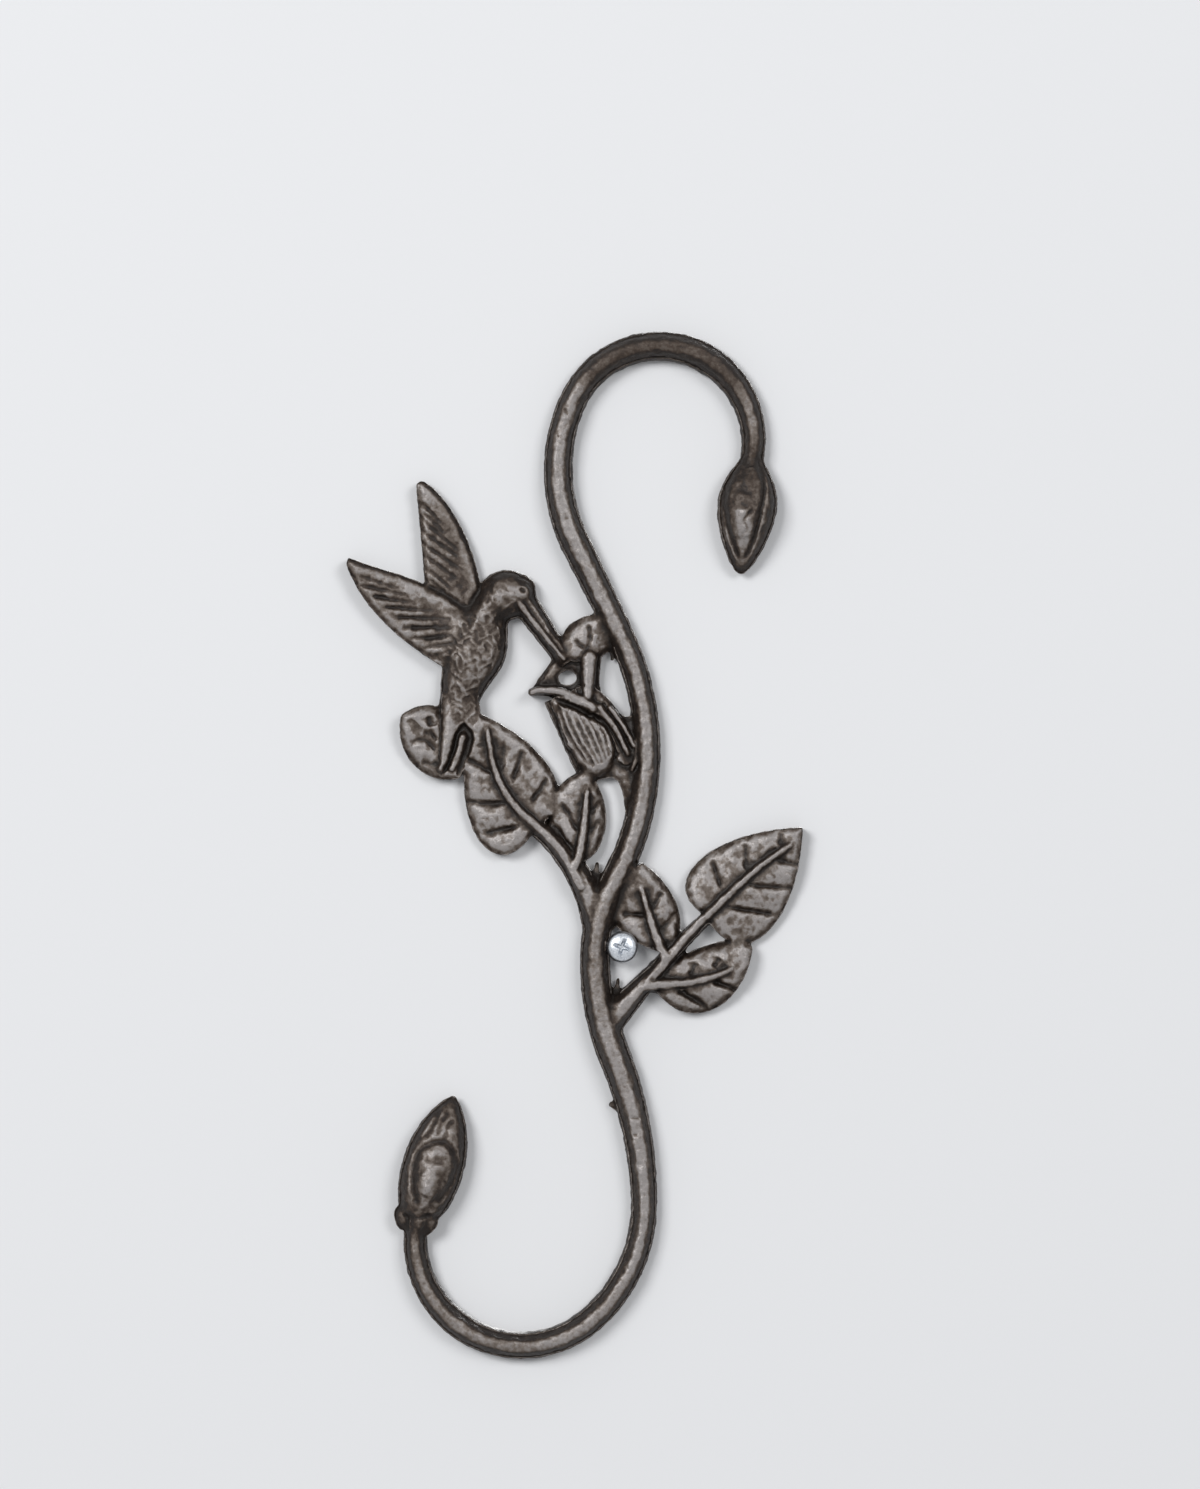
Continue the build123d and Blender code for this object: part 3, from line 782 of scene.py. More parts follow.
@dataclass
class LowerBud:
    """The bud at the planter hook: an oval petal, folded petals above it and knobs at its foot."""

    oval: Path = (
        (-43.6, -60.4), (-44.8, -56.5), (-44.8, -52.0), (-43.8, -47.8), (-41.1, -45.3),
        (-37.9, -44.6), (-35.4, -46.3), (-34.1, -49.5), (-34.6, -52.7), (-36.4, -56.7),
        (-39.1, -60.2))
    dome: Path = ((-39.6, -49.5), (-41.8, -58.4))
    folds: Sequence[Path] = (
        ((-42.3, -44.1), (-39.8, -40.1), (-38.4, -36.7)),
        ((-38.9, -43.6), (-38.1, -40.6), (-36.6, -37.6), (-36.4, -35.2)),
        ((-36.9, -45.1), (-36.4, -41.6), (-34.6, -39.1)),
    )
    collar: Path = ((-47.8, -62.9), (-44.3, -63.6), (-40.3, -62.9))
    filler: Tool = Tool(3.0, 0.7)
    outliner: Tool = Tool(0.8, -0.8, 0.05)
    folder: Tool = Tool(0.7, -0.6, 0.2)
    parting: Tool = Tool(0.6, -0.7)

    def carve(self, relief: Relief) -> None:
        """Cuts the oval petal free, folds the tip and sinks the collar.

        Args:
            relief: The casting's skin.
        """
        self.filler.cut(relief, self.dome)
        self.outliner.cut(relief, self.oval)
        self.folder.cut(relief, *self.folds)
        self.parting.cut(relief, self.collar)


@dataclass
class Leaves:
    """The six leaves: raised midribs, flat on the one under the tail, and hand-cut veins."""

    midribs: Sequence[Path] = (
        ((12.6, -6.4), (18.4, 0.8), (24.4, 7.8), (29.4, 12.6), (35.2, 18.2), (41.4, 23.6),
         (48.3, 28.4)),
        ((12.8, -6.3), (17.0, -6.0), (23.5, -5.5), (29.7, -4.0), (33.9, -2.2)),
        ((17.4, 0.4), (15.6, 4.6), (13.6, 10.6), (11.4, 18.0)),
        ((-3.4, 18.2), (-7.0, 25.0), (-11.4, 30.4), (-15.4, 34.0), (-20.3, 38.8), (-24.5, 46.3),
         (-26.1, 53.7), (-26.5, 56.9)),
        ((-5.4, 22.6), (-3.9, 26.0), (-2.7, 33.0), (-2.0, 41.6)),
    )
    flat_rib: Channel = Channel(((-35.0, 47.0), (-45.5, 58.0)), (1.9, 1.6), (4.3, 4.3), 0.3)
    veins: Sequence[Path] = (
        ((37.6, 22.0), (37.4, 25.7), (36.9, 29.2)),
        ((31.5, 17.8), (30.0, 21.3), (29.0, 25.0)),
        ((45.8, 28.2), (46.1, 31.7)),
        ((45.1, 24.7), (47.8, 24.0), (50.5, 23.5)),
        ((38.9, 18.3), (43.8, 18.3), (49.3, 17.8)),
        ((33.2, 13.1), (39.4, 11.9), (45.8, 10.9)),
        ((23.5, -4.0), (25.0, -0.5)),
        ((29.5, -2.0), (30.7, 0.7)),
        ((29.0, -5.5), (32.2, -6.2), (34.9, -7.7)),
        ((22.0, -8.2), (25.0, -9.9), (28.0, -12.6)),
        ((12.6, 10.9), (9.7, 11.4), (6.5, 11.4)),
        ((16.4, 7.4), (18.3, 9.4), (20.1, 12.1)),
        ((14.1, 12.4), (15.4, 14.6), (16.6, 17.1)),
        ((-26.0, 46.5), (-28.9, 48.5), (-32.2, 49.7)),
        ((-23.0, 38.4), (-27.5, 38.4), (-32.4, 39.3)),
        ((-19.3, 33.2), (-23.5, 31.7), (-28.5, 31.2)),
        ((-23.5, 46.5), (-22.8, 50.0), (-22.8, 54.0)),
        ((-20.5, 44.5), (-19.0, 48.0), (-18.1, 52.0)),
        ((-16.1, 39.1), (-13.4, 42.1), (-11.6, 45.5)),
        ((-46.3, 53.7), (-42.3, 54.4), (-39.1, 51.5)),
        ((-42.6, 56.7), (-40.3, 55.7), (-38.8, 54.2)),
        ((-41.1, 60.4), (-40.6, 57.6)),
        ((-43.3, 49.2), (-40.6, 48.5), (-38.6, 49.3)),
        ((-5.7, 26.7), (-8.2, 30.7), (-10.6, 34.1)),
        ((-4.2, 31.7), (-6.2, 35.6), (-8.6, 38.8)),
        ((-1.7, 31.4), (0.3, 33.2), (1.5, 35.1)),
        ((-1.2, 36.1), (0.5, 38.1), (1.7, 39.8)),
    )
    rib_half: tuple[float, float] = (1.35, 0.8)
    rib_crest: tuple[float, float] = (6.4, 5.5)
    rib_round: float = 0.9
    gouge: Tool = Tool(1.8, -0.40, 0.25)
    graver: Tool = Tool(0.6, -0.40, 0.15)
    bedder: Tool = Tool(1.9, -0.75, 0.08)

    def carve(self, relief: Relief) -> None:
        """Sinks a wide trough and a fine cut along each vein, and sets the midribs proud.

        Args:
            relief: The casting's skin.
        """
        self.flat_rib.cut(relief)
        for vein in self.veins:
            self.gouge.cut(relief, vein)
            self.graver.cut(relief, vein)
        for midrib in self.midribs:
            self.bedder.cut(relief, midrib)
            Roll(midrib, self.rib_half, self.rib_crest, self.rib_round).lay(relief)


@dataclass
class BellFlower:
    """The bell with its ribs, rolled lip, petals and pistil."""

    clearing: Channel = Channel(((5.0, 55.4), (6.9, 51.2), (8.4, 48.0)), (1.9, 2.6), (4.4, 3.3))
    bell: Sequence[Roll] = (
        Roll(((-3.9, 60.4), (-0.2, 51.8)), (5.4, 5.1), (7.0, 6.7), 2.8, 3.0),
        Roll(((-7.2, 61.4), (-4.4, 54.6)), (2.6, 3.2), (6.2, 6.4), 2.2, 3.0),
    )
    under_lip: Channel = Channel(
        ((-13.6, 65.3), (-8.7, 63.9), (-4.7, 62.4), (-1.7, 60.8), (1.2, 59.4), (3.7, 57.4),
         (6.2, 53.5), (7.7, 50.5)), (0.65, 1.1), (4.9, 3.6))
    petal_gap: Channel = Channel(((2.2, 63.4), (6.0, 57.7), (8.9, 52.0)), (0.6, 0.6), (4.0, 3.6))
    rolls: Sequence[Roll] = (
        Roll(((-15.5, 66.2), (-13.6, 66.8), (-8.7, 66.4), (-3.7, 64.3), (-0.5, 62.4)),
             (0.9, 1.25), (6.0, 7.4)),
        Roll(((-1.5, 74.6), (-1.7, 69.3), (-1.8, 65.2)), (2.1, 1.3), (5.8, 6.2), 1.5),
        Roll(((1.2, 62.4), (5.2, 56.9), (8.2, 51.0)), (0.95, 0.7), (6.6, 5.2), 0.9),
        Roll(((3.7, 62.4), (6.7, 58.4), (9.7, 53.0)), (0.75, 0.65), (5.4, 5.0), 0.7),
        Roll(((10.4, 54.4), (10.4, 50.7), (9.2, 47.0)), (0.65, 0.6), (4.8, 4.4), 0.6),
    )
    ribs: Sequence[Path] = (
        ((-9.4, 62.6), (-6.1, 54.7), (-1.4, 48.1)),
        ((-7.6, 62.2), (-4.4, 54.9), (-0.1, 48.0)),
        ((-5.7, 61.8), (-2.6, 55.1), (1.0, 48.2)),
        ((-3.9, 61.4), (-0.9, 55.2), (2.0, 48.6)),
        ((-2.0, 61.0), (0.8, 55.4), (2.9, 49.3)),
        ((-0.2, 60.6), (2.5, 55.6), (3.6, 50.2)),
    )
    creases: Sequence[Path] = (
        ((-1.7, 83.2), (-1.2, 79.2), (-3.2, 75.2)),
        ((-4.9, 79.2), (-2.7, 77.2)),
    )
    scorer: Tool = Tool(0.42, -0.55, 0.06)
    creaser: Tool = Tool(0.6, -0.6)

    def shape(self, relief: Relief) -> None:
        """Swells the bell, frees it from its lip and lays the lip, pistil and petals' edges.

        Args:
            relief: The casting's skin.
        """
        self.clearing.cut(relief)
        for swell in self.bell:
            swell.lay(relief)
        self.under_lip.cut(relief)
        self.petal_gap.cut(relief)
        for roll in self.rolls:
            roll.lay(relief)

    def carve(self, relief: Relief) -> None:
        """Scores the bell's ribs and the back petal's creases."""
        self.scorer.cut(relief, *self.ribs)
        self.creaser.cut(relief, *self.creases)


@dataclass
class Hummingbird:
    """The bird: barbed wings, scaled breast, a sunk eye, a ridged beak and a forked tail."""

    shoulder: Path = ((-42.3, 92.6), (-37.1, 90.1), (-31.4, 86.4))
    nape: Path = ((-31.4, 86.4), (-29.7, 89.6), (-27.5, 92.6), (-25.0, 94.6))
    eye: Path = ((-18.0, 91.6), (-17.6, 91.4))
    head: Roll = Roll(
        ((-27.4, 84.6), (-25.6, 87.6), (-23.0, 89.8), (-20.0, 90.9), (-18.2, 90.7)),
        (3.0, 2.4), (7.3, 7.3), 1.8)
    beak: Roll = Roll(
        ((-19.2, 89.0), (-15.6, 84.1), (-11.6, 79.2), (-7.7, 74.4)), (1.0, 0.7), (7.0, 5.9), 0.9)
    tail_gaps: Sequence[Channel] = (
        Channel(((-32.9, 57.2), (-33.9, 55.2), (-35.1, 50.7), (-36.1, 48.3), (-38.1, 46.1)),
                (0.8, 0.6), (3.4, 3.4)),
        Channel(((-32.4, 57.6), (-31.0, 55.7), (-31.2, 53.2), (-32.7, 49.0), (-33.6, 46.0)),
                (0.9, 0.8), (3.4, 3.4)),
        Channel(((-38.3, 60.6), (-38.3, 54.4), (-38.4, 49.5)), (0.6, 0.6), (3.8, 3.8)),
    )
    tail: Sequence[Roll] = (
        Roll(((-35.0, 63.0), (-35.9, 58.0), (-36.7, 53.4), (-37.4, 49.5), (-38.2, 47.2)),
             (2.5, 0.8), (5.4, 5.5)),
        Roll(((-32.7, 55.2), (-33.7, 51.2), (-35.4, 47.4)), (0.9, 0.9), (5.6, 5.2), 0.8),
    )
    upper_barbs: Sequence[Path] = (
        ((-43.3, 113.9), (-38.1, 107.9)), ((-43.1, 111.4), (-36.4, 104.9)),
        ((-42.8, 108.9), (-33.4, 101.0)), ((-42.3, 105.7), (-32.7, 99.0)),
        ((-42.1, 102.7), (-32.9, 96.5)), ((-41.8, 100.0), (-33.9, 94.1)),
        ((-41.6, 97.3), (-35.4, 91.6)), ((-41.3, 94.6), (-36.9, 90.8)))
    lower_barbs: Sequence[Path] = (
        ((-59.6, 95.5), (-47.8, 91.6)), ((-57.7, 92.8), (-46.0, 90.1)),
        ((-55.7, 90.1), (-44.3, 88.4)), ((-53.5, 87.4), (-38.4, 86.4)),
        ((-51.2, 84.9), (-34.6, 84.4)), ((-49.2, 82.2), (-34.4, 82.2)),
        ((-46.5, 79.4), (-34.9, 80.2)), ((-43.3, 77.0), (-34.4, 78.5)),
        ((-40.3, 75.2), (-34.4, 76.7)))
    spine: Path = ((-33.6, 60.0), (-32.6, 68.0), (-30.0, 75.0), (-28.4, 81.0), (-26.0, 87.0))
    shoulder_fill: Path = ((-37.0, 74.0), (-35.0, 80.0), (-32.5, 85.0))
    neck_fill: Path = ((-29.0, 84.5), (-26.0, 88.4), (-22.6, 89.6))
    blend_half: float = 3.5
    blend_rounds: int = 25
    breast_half: float = 7.0
    breast_rounds: int = 1
    scale_pitch: float = 2.3
    scale_rise: float = 0.42
    shoulder_filler: Tool = Tool(3.2, 1.5)
    neck_filler: Tool = Tool(2.6, 0.9)
    graver: Tool = Tool(0.4, -0.4, 0.2)
    parting: Tool = Tool(0.9, -0.9)
    drill: Tool = Tool(0.6, -0.7, 0.0)
    bedder: Tool = Tool(1.9, -0.8)

    def carve(self, relief: Relief) -> None:
        """Blends the forms, lays the scales, cuts the barbs and parts wings, head and tail.

        Args:
            relief: The casting's skin.
        """
        self.shoulder_filler.cut(relief, self.shoulder_fill)
        self.neck_filler.cut(relief, self.neck_fill)
        self.head.lay(relief)
        for fill in (self.shoulder_fill, self.neck_fill):
            relief.soften(fill, self.blend_half, self.blend_rounds)
        relief.scales(self.spine, self.breast_half, self.scale_pitch, self.scale_rise)
        relief.soften(self.spine, self.breast_half, self.breast_rounds)
        self.graver.cut(relief, *self.upper_barbs, *self.lower_barbs)
        self.parting.cut(relief, self.shoulder, self.nape)
        self.drill.cut(relief, self.eye)
        self.bedder.cut(relief, self.beak.points)
        self.beak.lay(relief)
        for gap in self.tail_gaps:
            gap.cut(relief)
        for prong in self.tail:
            prong.lay(relief)


@dataclass
class HookCasting:
    """The one-piece casting: its bar, buds, leaves, flower and bird."""

    node: str = "hook_casting"
    slot: str = "cast_body"
    voxel_mm: float = 0.36
    smoothing: float = 0.5
    rounds_before: int = 5
    rounds_after: int = 2
    rim_mm: float = 1.0
    rim_drop_mm: float = 0.9
    # Size and depth of the sand's bumps, drawn coarser than real ones so that they show.
    sand_mm: float = 1.8
    sand_depth_mm: float = 0.5
    sand_octaves: int = 2
    sand_level: float = 0.5
    back_facing: float = 0.8
    back_sand: float = 0.3
    most_triangles: int = 185_000
    flash_lift_mm: float = 1.5
    flash_sides: int = 16
    flash_taper: float = 2.5
    # Foot, tip and radius of each spike.
    flash: Sequence[tuple[tuple[float, float], tuple[float, float], float]] = (
        ((4.6, 79.0), (4.2, 74.0), 1.1),
        ((0.2, 18.6), (0.5, 24.2), 1.2),
        ((4.9, -11.4), (5.8, -4.6), 1.2),
        ((6.6, -36.6), (3.4, -35.8), 1.5),
        ((-15.2, 84.0), (-12.6, 86.2), 1.2),
    )
    # Stretches of more or less rubbing; some of them are painted highlights and painted shade.
    patches: Sequence[Patina] = (
        # Painted shade: the crest of the top arc darkened.
        Patina(((-1.2, 148.5), (11.2, 154.0), (17.3, 154.2), (26.0, 152.2), (34.7, 146.0)),
               6.5, -0.75),
        Patina(Bar.course, 4.5, -0.10),
        Patina(((1.3, 10.0), (0.0, 0.0), (1.0, -12.0)), 3.5, -0.18),
        Patina(((39.1, 136.1), (40.1, 126.2)), 5.0, -0.1),
        Patina(((38.4, 124.0), (37.2, 114.5)), 6.0, -0.65),
        Patina(((36.0, 110.0), (36.4, 99.0)), 6.0, -0.25),
        # Painted highlight on the bud's middle petal.
        Patina(((35.6, 110.8), (36.8, 103.6)), 1.9, 0.85),
        # Painted sheen on the bud's steep left side petal.
        Patina(((32.0, 119.0), (30.8, 111.4), (32.4, 104.0)), 1.3, 0.40),
        Patina(((8.1, 50.4), (8.6, 47.6)), 2.0, -0.45),
        Patina(((-18.6, -95.3), (-33.4, -91.6), (-42.1, -80.5), (-45.3, -68.1)), 6.0, -0.2),
        Patina(((-45.0, -62.0), (-36.0, -40.0)), 7.0, -0.35),
        Patina(((-39.6, -49.0), (-42.0, -58.5)), 3.0, 0.28),
        Patina(((-40.3, -42.1), (-34.6, -42.1)), 1.5, 0.3),
        # Painted shade along the steep top edge of the neck and head.
        Patina(((-31.0, 87.0), (-27.0, 93.0), (-20.0, 95.5), (-15.5, 91.5)), 1.8, -0.35),
        Patina(((-46.0, 90.5), (-38.0, 87.5)), 3.0, 0.15),
        Patina(((-4.4, 61.0), (2.0, 49.5)), 4.0, 0.18),
        # Painted shade under the flower's back petal.
        Patina(((-12.0, 70.0), (-4.5, 72.5)), 2.6, -0.45),
        Patina(((-14.5, 66.6), (-8.7, 66.4), (-3.0, 63.9)), 1.1, 0.35),
        # Painted highlight along the pistil's crest.
        Patina(((-1.6, 73.0), (-1.8, 66.0)), 1.3, 0.35),
        Patina(((10.8, -70.9), (12.2, -60.1), (11.3, -48.4), (9.1, -36.9)), 2.5, 0.18),
        Patina(((-38.0, 110.0), (-35.0, 94.0)), 6.0, -0.4),
        Patina(((-58.0, 94.0), (-40.0, 82.0)), 6.0, -0.32),
        Patina(((-33.6, 60.0), (-30.0, 75.0), (-26.0, 87.0), (-20.0, 90.0)), 7.0, -0.16),
        Patina(((-26.0, 88.0), (-20.0, 90.0)), 4.0, -0.12),
        Patina(((-24.0, 48.0), (-18.0, 34.0)), 7.0, -0.06),
        Patina(((-35.9, 58.0), (-37.4, 49.5)), 2.0, 0.15),
        Patina(((-25.0, 88.6), (-19.0, 90.8)), 2.2, 0.18),
    )
    flower: BellFlower = field(default_factory=BellFlower)
    finish: AntiquedIron = field(default_factory=AntiquedIron)

    def build(self) -> Any:
        """Makes the casting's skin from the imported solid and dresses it.

        Returns:
            The finished object.
        """
        piece = self.copy_solid()
        self.add_flash(piece)
        apply_modifier(piece, "REMESH", mode="VOXEL", voxel_size=self.voxel_mm * MM)
        apply_modifier(piece, "SMOOTH", factor=self.smoothing, iterations=self.rounds_before)
        for work in (self.shape, self.score):
            relief = Relief(piece.data)
            work(relief)
            relief.write()
        apply_modifier(piece, "SMOOTH", factor=self.smoothing, iterations=self.rounds_after)
        self.roughen(piece)
        self.thin_out(piece)
        Relief(piece.data).wear_and_shading(self.patches)
        self.dress(piece)
        return piece

    def copy_solid(self) -> Any:
        """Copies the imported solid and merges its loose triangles.

        Returns:
            The copy.
        """
        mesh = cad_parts[self.node].data.copy()
        mesh.materials.clear()
        piece = bpy.data.objects.new("cast_hook", mesh)
        bpy.context.scene.collection.objects.link(piece)
        activate(piece)
        bpy.ops.object.mode_set(mode="EDIT")
        bpy.ops.mesh.select_all(action="SELECT")
        bpy.ops.mesh.remove_doubles(threshold=MERGE)
        bpy.ops.object.mode_set(mode="OBJECT")
        return piece

    def add_flash(self, piece: Any) -> None:
        """Sets the small spikes of metal that the mould's joint left in the corners.

        Args:
            piece: The casting.
        """
        spikes = [piece]
        for foot, tip, radius in self.flash:
            run = Vector((tip[0] - foot[0], 0, tip[1] - foot[1]))
            middle = Vector(((tip[0] + foot[0]) / 2 + TRUNK_X, -self.flash_lift_mm,
                             (tip[1] + foot[1]) / 2 + TRUNK_Z))
            deselect()
            bpy.ops.mesh.primitive_cone_add(
                vertices=self.flash_sides, radius1=radius * MM,
                radius2=radius / self.flash_taper * MM, depth=run.length * MM,
                location=middle * MM, rotation=(0, math.atan2(run.x, run.z), 0))
            place(bpy.context.object)
            spikes.append(bpy.context.object)
        join(spikes)

    def shape(self, relief: Relief) -> None:
        """Rolls the rims over, cuts the ornaments and models the flower.

        Args:
            relief: The casting's skin.
        """
        relief.roll_edges(self.rim_mm, self.rim_drop_mm)
        for ornament in (Bar(), UpperBud(), LowerBud(), Leaves(), Hummingbird()):
            ornament.carve(relief)
        self.flower.shape(relief)

    def score(self, relief: Relief) -> None:
        """Cuts the fine work into the modelled flower."""
        self.flower.carve(relief)

    def roughen(self, piece: Any) -> None:
        """Gives the skin the uneven surface that moulding sand leaves, less on the ground back.

        Args:
            piece: The casting.
        """
        sand = bpy.data.textures.new("moulding_sand", type="CLOUDS")
        sand.noise_scale = self.sand_mm * MM
        sand.noise_depth = self.sand_octaves
        group = piece.vertex_groups.new(name="sand")
        back = [v.index for v in piece.data.vertices if v.normal.y > self.back_facing]
        group.add(range(len(piece.data.vertices)), 1.0, "REPLACE")
        group.add(back, self.back_sand, "REPLACE")
        apply_modifier(piece, "DISPLACE", texture=sand, strength=self.sand_depth_mm * MM,
                       mid_level=self.sand_level, vertex_group=group.name)
        piece.vertex_groups.clear()

    def thin_out(self, piece: Any) -> None:
        """Takes triangles off the flat places.

        Args:
            piece: The casting.
        """
        apply_modifier(piece, "TRIANGULATE")
        count = len(piece.data.polygons)
        if count > self.most_triangles:
            apply_modifier(piece, "DECIMATE", ratio=self.most_triangles / count)
        log.info("%s: %d triangles, from %d", piece.name, len(piece.data.polygons), count)

    def dress(self, piece: Any) -> None:
        """Gives the casting its finish and its place in the frame.

        Args:
            piece: The casting.
        """
        activate(piece)
        bpy.ops.object.shade_smooth()
        piece.data.materials.append(self.finish.make())
        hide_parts(self.node)
        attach(piece, BODY)


@dataclass
class WallScrew:
    """Pan-head screw with a cross recess and a rolled thread, in millimetres."""

    node: str = "wall_screw"
    slot: str = "screw_zinc"
    seat: float = -4.2
    # Radius and height of each ring of the head, from its seat up.
    head: Sequence[tuple[float, float]] = (
        (3.7, 0.0), (3.9, 0.25), (3.88, 0.8), (3.68, 1.4), (3.25, 1.9), (2.6, 2.25), (1.7, 2.48),
        (0.8, 2.54))
    head_sides: int = 64
    arm_length: float = 4.9
    arm_width: float = 1.0
    recess: float = 1.7
    recess_foot: float = 0.45
    turn_deg: float = 18.0
    edge: float = 0.09
    edge_steps: int = 2
    edge_angle_deg: float = 38.0
    smooth_angle_deg: float = 32.0
    neck: float = 1.8
    neck_sides: int = 48
    core: float = 1.5
    crest: float = 2.1
    pitch: float = 1.6
    # Shares of the pitch at which the flank leaves the core and the crest begins and ends.
    flank_start: float = 0.42
    crest_start: float = 0.66
    crest_end: float = 0.76
    thread_steps: int = 36
    turns: int = 17
    thread_start: float = -0.8
    taper_start: float = 21.0
    point: float = 0.05
    finish: ZincPlate = field(default_factory=ZincPlate)

    def build(self) -> Any:
        """Models the head, the neck and the thread, and joins them.

        Returns:
            The screw.
        """
        piece = join([self.make_head(), self.make_neck(), self.make_thread()])
        piece.name = "pan_head_screw"
        self.dress(piece)
        return piece

    def make_head(self) -> Any:
        """Raises the pan head ring by ring and sinks the cross recess.

        Returns:
            The head.
        """
        deselect()
        radius, height = self.head[0]
        bpy.ops.mesh.primitive_circle_add(
            vertices=self.head_sides, radius=radius * MM, fill_type="NGON",
            location=(0, self.seat * MM, 0), rotation=(QUARTER_TURN, 0, 0))
        head = bpy.context.object
        place(head)
        bpy.ops.object.mode_set(mode="EDIT")
        bpy.ops.mesh.select_all(action="SELECT")
        for wide, high in self.head[1:]:
            bpy.ops.mesh.extrude_region_move(
                TRANSFORM_OT_translate={"value": (0, (height - high) * MM, 0)})
            bpy.ops.transform.resize(
                value=(wide / radius, 1, wide / radius),
                center_override=(0, (self.seat - high) * MM, 0))
            radius, height = wide, high
        bpy.ops.mesh.select_all(action="SELECT")
        bpy.ops.mesh.normals_make_consistent(inside=False)
        bpy.ops.object.mode_set(mode="OBJECT")
        for quarter in (0, 90):
            cutter = self.make_arm(math.radians(self.turn_deg + quarter))
            apply_modifier(head, "BOOLEAN", object=cutter, operation="DIFFERENCE", solver="EXACT")
            bpy.data.objects.remove(cutter)
        apply_modifier(head, "BEVEL", width=self.edge * MM, segments=self.edge_steps,
                       limit_method="ANGLE", angle_limit=math.radians(self.edge_angle_deg))
        return head

    def make_arm(self, turn: float) -> Any:
        """Makes the tapered bar that cuts one arm of the recess.

        Args:
            turn: Its turn about the screw's axis, in radians.

        Returns:
            The cutting bar.
        """
        deselect()
        top = self.seat - self.head[-1][1] - self.edge
        bpy.ops.mesh.primitive_cube_add(
            size=1, location=(0, (top + self.recess / 2) * MM, 0), rotation=(0, turn, 0),
            scale=(self.arm_length * MM, self.recess * MM, self.arm_width * MM))
        arm = bpy.context.object
        place(arm)
        for vertex in arm.data.vertices:
            if vertex.co.y > (top + self.recess / 2) * MM:
                vertex.co.x *= self.recess_foot
                vertex.co.z *= self.recess_foot
        return arm

    def make_neck(self) -> Any:
        """Makes the plain neck under the head.

        Returns:
            The neck.
        """
        deselect()
        reach = self.thread_start + self.pitch - self.seat
        bpy.ops.mesh.primitive_cylinder_add(
            vertices=self.neck_sides, radius=self.neck * MM, depth=reach * MM,
            location=(0, (self.seat + reach / 2) * MM, 0), rotation=(QUARTER_TURN, 0, 0))
        neck = bpy.context.object
        place(neck)
        return neck

    def make_thread(self) -> Any:
        """Winds one pitch of the thread's outline round the axis and draws its end to a point.

        Returns:
            The thread.
        """
        deselect()
        outline = (
            (self.core, 0.0), (self.core, self.flank_start), (self.crest, self.crest_start),
            (self.crest, self.crest_end), (self.core, 1.0))
        bpy.ops.mesh.primitive_circle_add(vertices=len(outline), radius=MM, fill_type="NOTHING")
        thread = bpy.context.object
        for vertex, (radius, share) in zip(thread.data.vertices, outline):
            vertex.co = (radius * MM, (self.thread_start + share * self.pitch) * MM, 0)
        for vertex in thread.data.vertices:
            vertex.select = vertex.index in (0, len(outline) - 1)
        for edge in thread.data.edges:
            edge.select = set(edge.vertices) == {0, len(outline) - 1}
        bpy.ops.object.mode_set(mode="EDIT")
        bpy.ops.mesh.delete(type="EDGE")
        bpy.ops.object.mode_set(mode="OBJECT")
        apply_modifier(
            thread, "SCREW", axis="Y", screw_offset=self.pitch * MM, iterations=self.turns,
            steps=self.thread_steps, render_steps=self.thread_steps, use_merge_vertices=True,
            merge_threshold=MERGE)
        tip = (self.thread_start + (self.turns + 1) * self.pitch) * MM
        for vertex in thread.data.vertices:
            share = (tip - vertex.co.y) / (tip - self.taper_start * MM)
            narrow = min(1.0, max(self.point, share))
            vertex.co.x *= narrow
            vertex.co.z *= narrow
        activate(thread)
        bpy.ops.object.mode_set(mode="EDIT")
        bpy.ops.mesh.select_all(action="SELECT")
        bpy.ops.mesh.remove_doubles(threshold=MERGE)
        bpy.ops.mesh.fill_holes(sides=0)
        bpy.ops.mesh.normals_make_consistent(inside=False)
        bpy.ops.object.mode_set(mode="OBJECT")
        return thread

    def dress(self, piece: Any) -> None:
        """Gives the screw its plating and its place in the frame.

        Args:
            piece: The screw.
        """
        activate(piece)
        bpy.ops.object.shade_smooth_by_angle(angle=math.radians(self.smooth_angle_deg))
        piece.data.materials.append(self.finish.make())
        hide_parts(self.node)
        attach(piece, BODY)


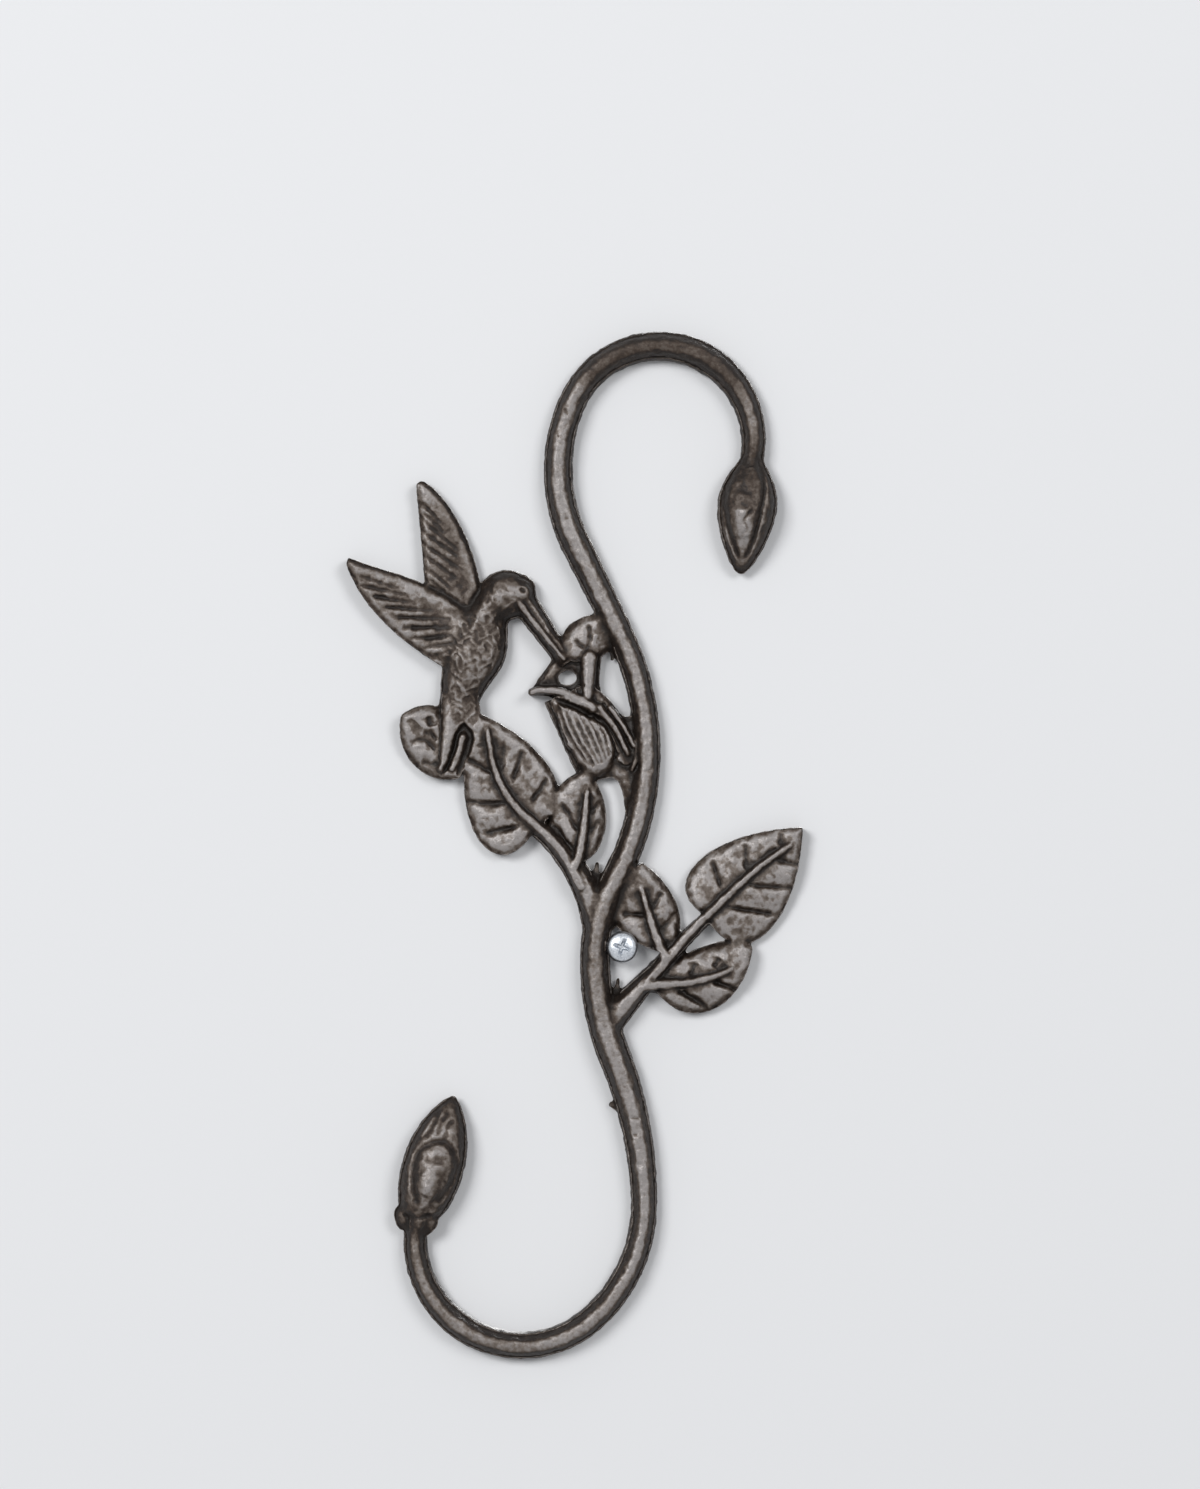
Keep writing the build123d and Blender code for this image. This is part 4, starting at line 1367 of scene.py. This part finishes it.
@dataclass
class Studio:
    """The wall behind the hook, soft lamps on both sides and the camera."""

    image: tuple[int, int] = (1200, 1489)
    mm_per_pixel: float = 0.24756
    centre_mm: tuple[float, float] = (-5.45, 50.1)
    plane_mm: float = -3.5
    distance_mm: float = 1500.0
    sensor_mm: float = 36.0
    clip_m: tuple[float, float] = (0.01, 100.0)
    wall_mm: float = 6000.0
    wall_gap_mm: float = 0.3
    # Name, place in metres and watts of each lamp.
    lamps: Sequence[tuple[str, tuple[float, float, float], float]] = (
        ("left", (-1.3, -2.2, 0.9), 40.0), ("right", (1.3, -2.2, 0.9), 20.0),
        ("back", (0.4, 2.4, 0.9), 60.0))
    lamp_size_m: float = 1.0
    lamp_aim_m: tuple[float, float, float] = (0.0, 0.0, 0.05)
    sky: str = "f4f5f7"
    sky_light: float = 0.38
    sky_seen: float = 1.0
    finish: PaleWall = field(default_factory=PaleWall)

    def build(self) -> None:
        """Sets up the wall, the light and the camera."""
        self.hang_wall()
        self.hang_lamps()
        self.set_sky()
        self.aim_camera()

    def hang_wall(self) -> None:
        """Puts the painted wall just behind the casting's flat back."""
        deselect()
        bpy.ops.mesh.primitive_plane_add(
            size=self.wall_mm * MM, location=(0, self.wall_gap_mm * MM, 0),
            rotation=(QUARTER_TURN, 0, 0))
        wall = bpy.context.object
        wall.name = "wall"
        place(wall)
        wall.data.materials.append(self.finish.make())

    def hang_lamps(self) -> None:
        """Hangs the lamps and turns them to the hook."""
        for name, corner, watts in self.lamps:
            deselect()
            spot = Vector(corner)
            bpy.ops.object.light_add(type="AREA", location=spot)
            lamp = bpy.context.object
            lamp.name = f"{name}_lamp"
            aim = Vector(self.lamp_aim_m) - spot
            lamp.rotation_euler = aim.to_track_quat("-Z", "Y").to_euler()
            lamp.data.size = self.lamp_size_m
            lamp.data.energy = watts

    def set_sky(self) -> None:
        """Lights the room evenly, and lets its pale colour be seen where no wall shows."""
        world = bpy.data.worlds.new("pale_room")
        bpy.context.scene.world = world
        world.use_nodes = True
        tree = world.node_tree
        light = tree.nodes["Background"]
        light.inputs["Color"].default_value = linear(self.sky)
        light.inputs["Strength"].default_value = self.sky_light
        seen = add_node(tree, "ShaderNodeBackground", {
            "Color": linear(self.sky), "Strength": self.sky_seen})
        mixed = add_node(tree, "ShaderNodeMixShader", {
            0: seen_rays(tree), 1: light.outputs[0], 2: seen.outputs[0]})
        tree.links.new(mixed.outputs[0], tree.nodes["World Output"].inputs["Surface"])

    def aim_camera(self) -> None:
        """Places the camera square to the wall, at the picture's framing."""
        deselect()
        reach = self.distance_mm
        place_mm = Vector((self.centre_mm[0], self.plane_mm - reach, self.centre_mm[1]))
        bpy.ops.object.camera_add(location=place_mm * MM, rotation=(QUARTER_TURN, 0, 0))
        camera = bpy.context.object
        camera.data.sensor_width = self.sensor_mm
        camera.data.lens = self.sensor_mm * reach / (self.image[1] * self.mm_per_pixel)
        camera.data.clip_start, camera.data.clip_end = self.clip_m
        bpy.context.scene.camera = camera


def main() -> None:
    """Builds the hook, its screw and the studio, and reports each piece."""
    logging.basicConfig(level=logging.INFO, format="%(name)s: %(message)s")
    bpy.context.scene.view_settings.view_transform = "Standard"
    for part in (HookCasting(), WallScrew()):
        piece = part.build()
        log.info("%s: %d faces", piece.name, len(piece.data.polygons))
    Studio().build()


if __name__ == "__main__":
    main()
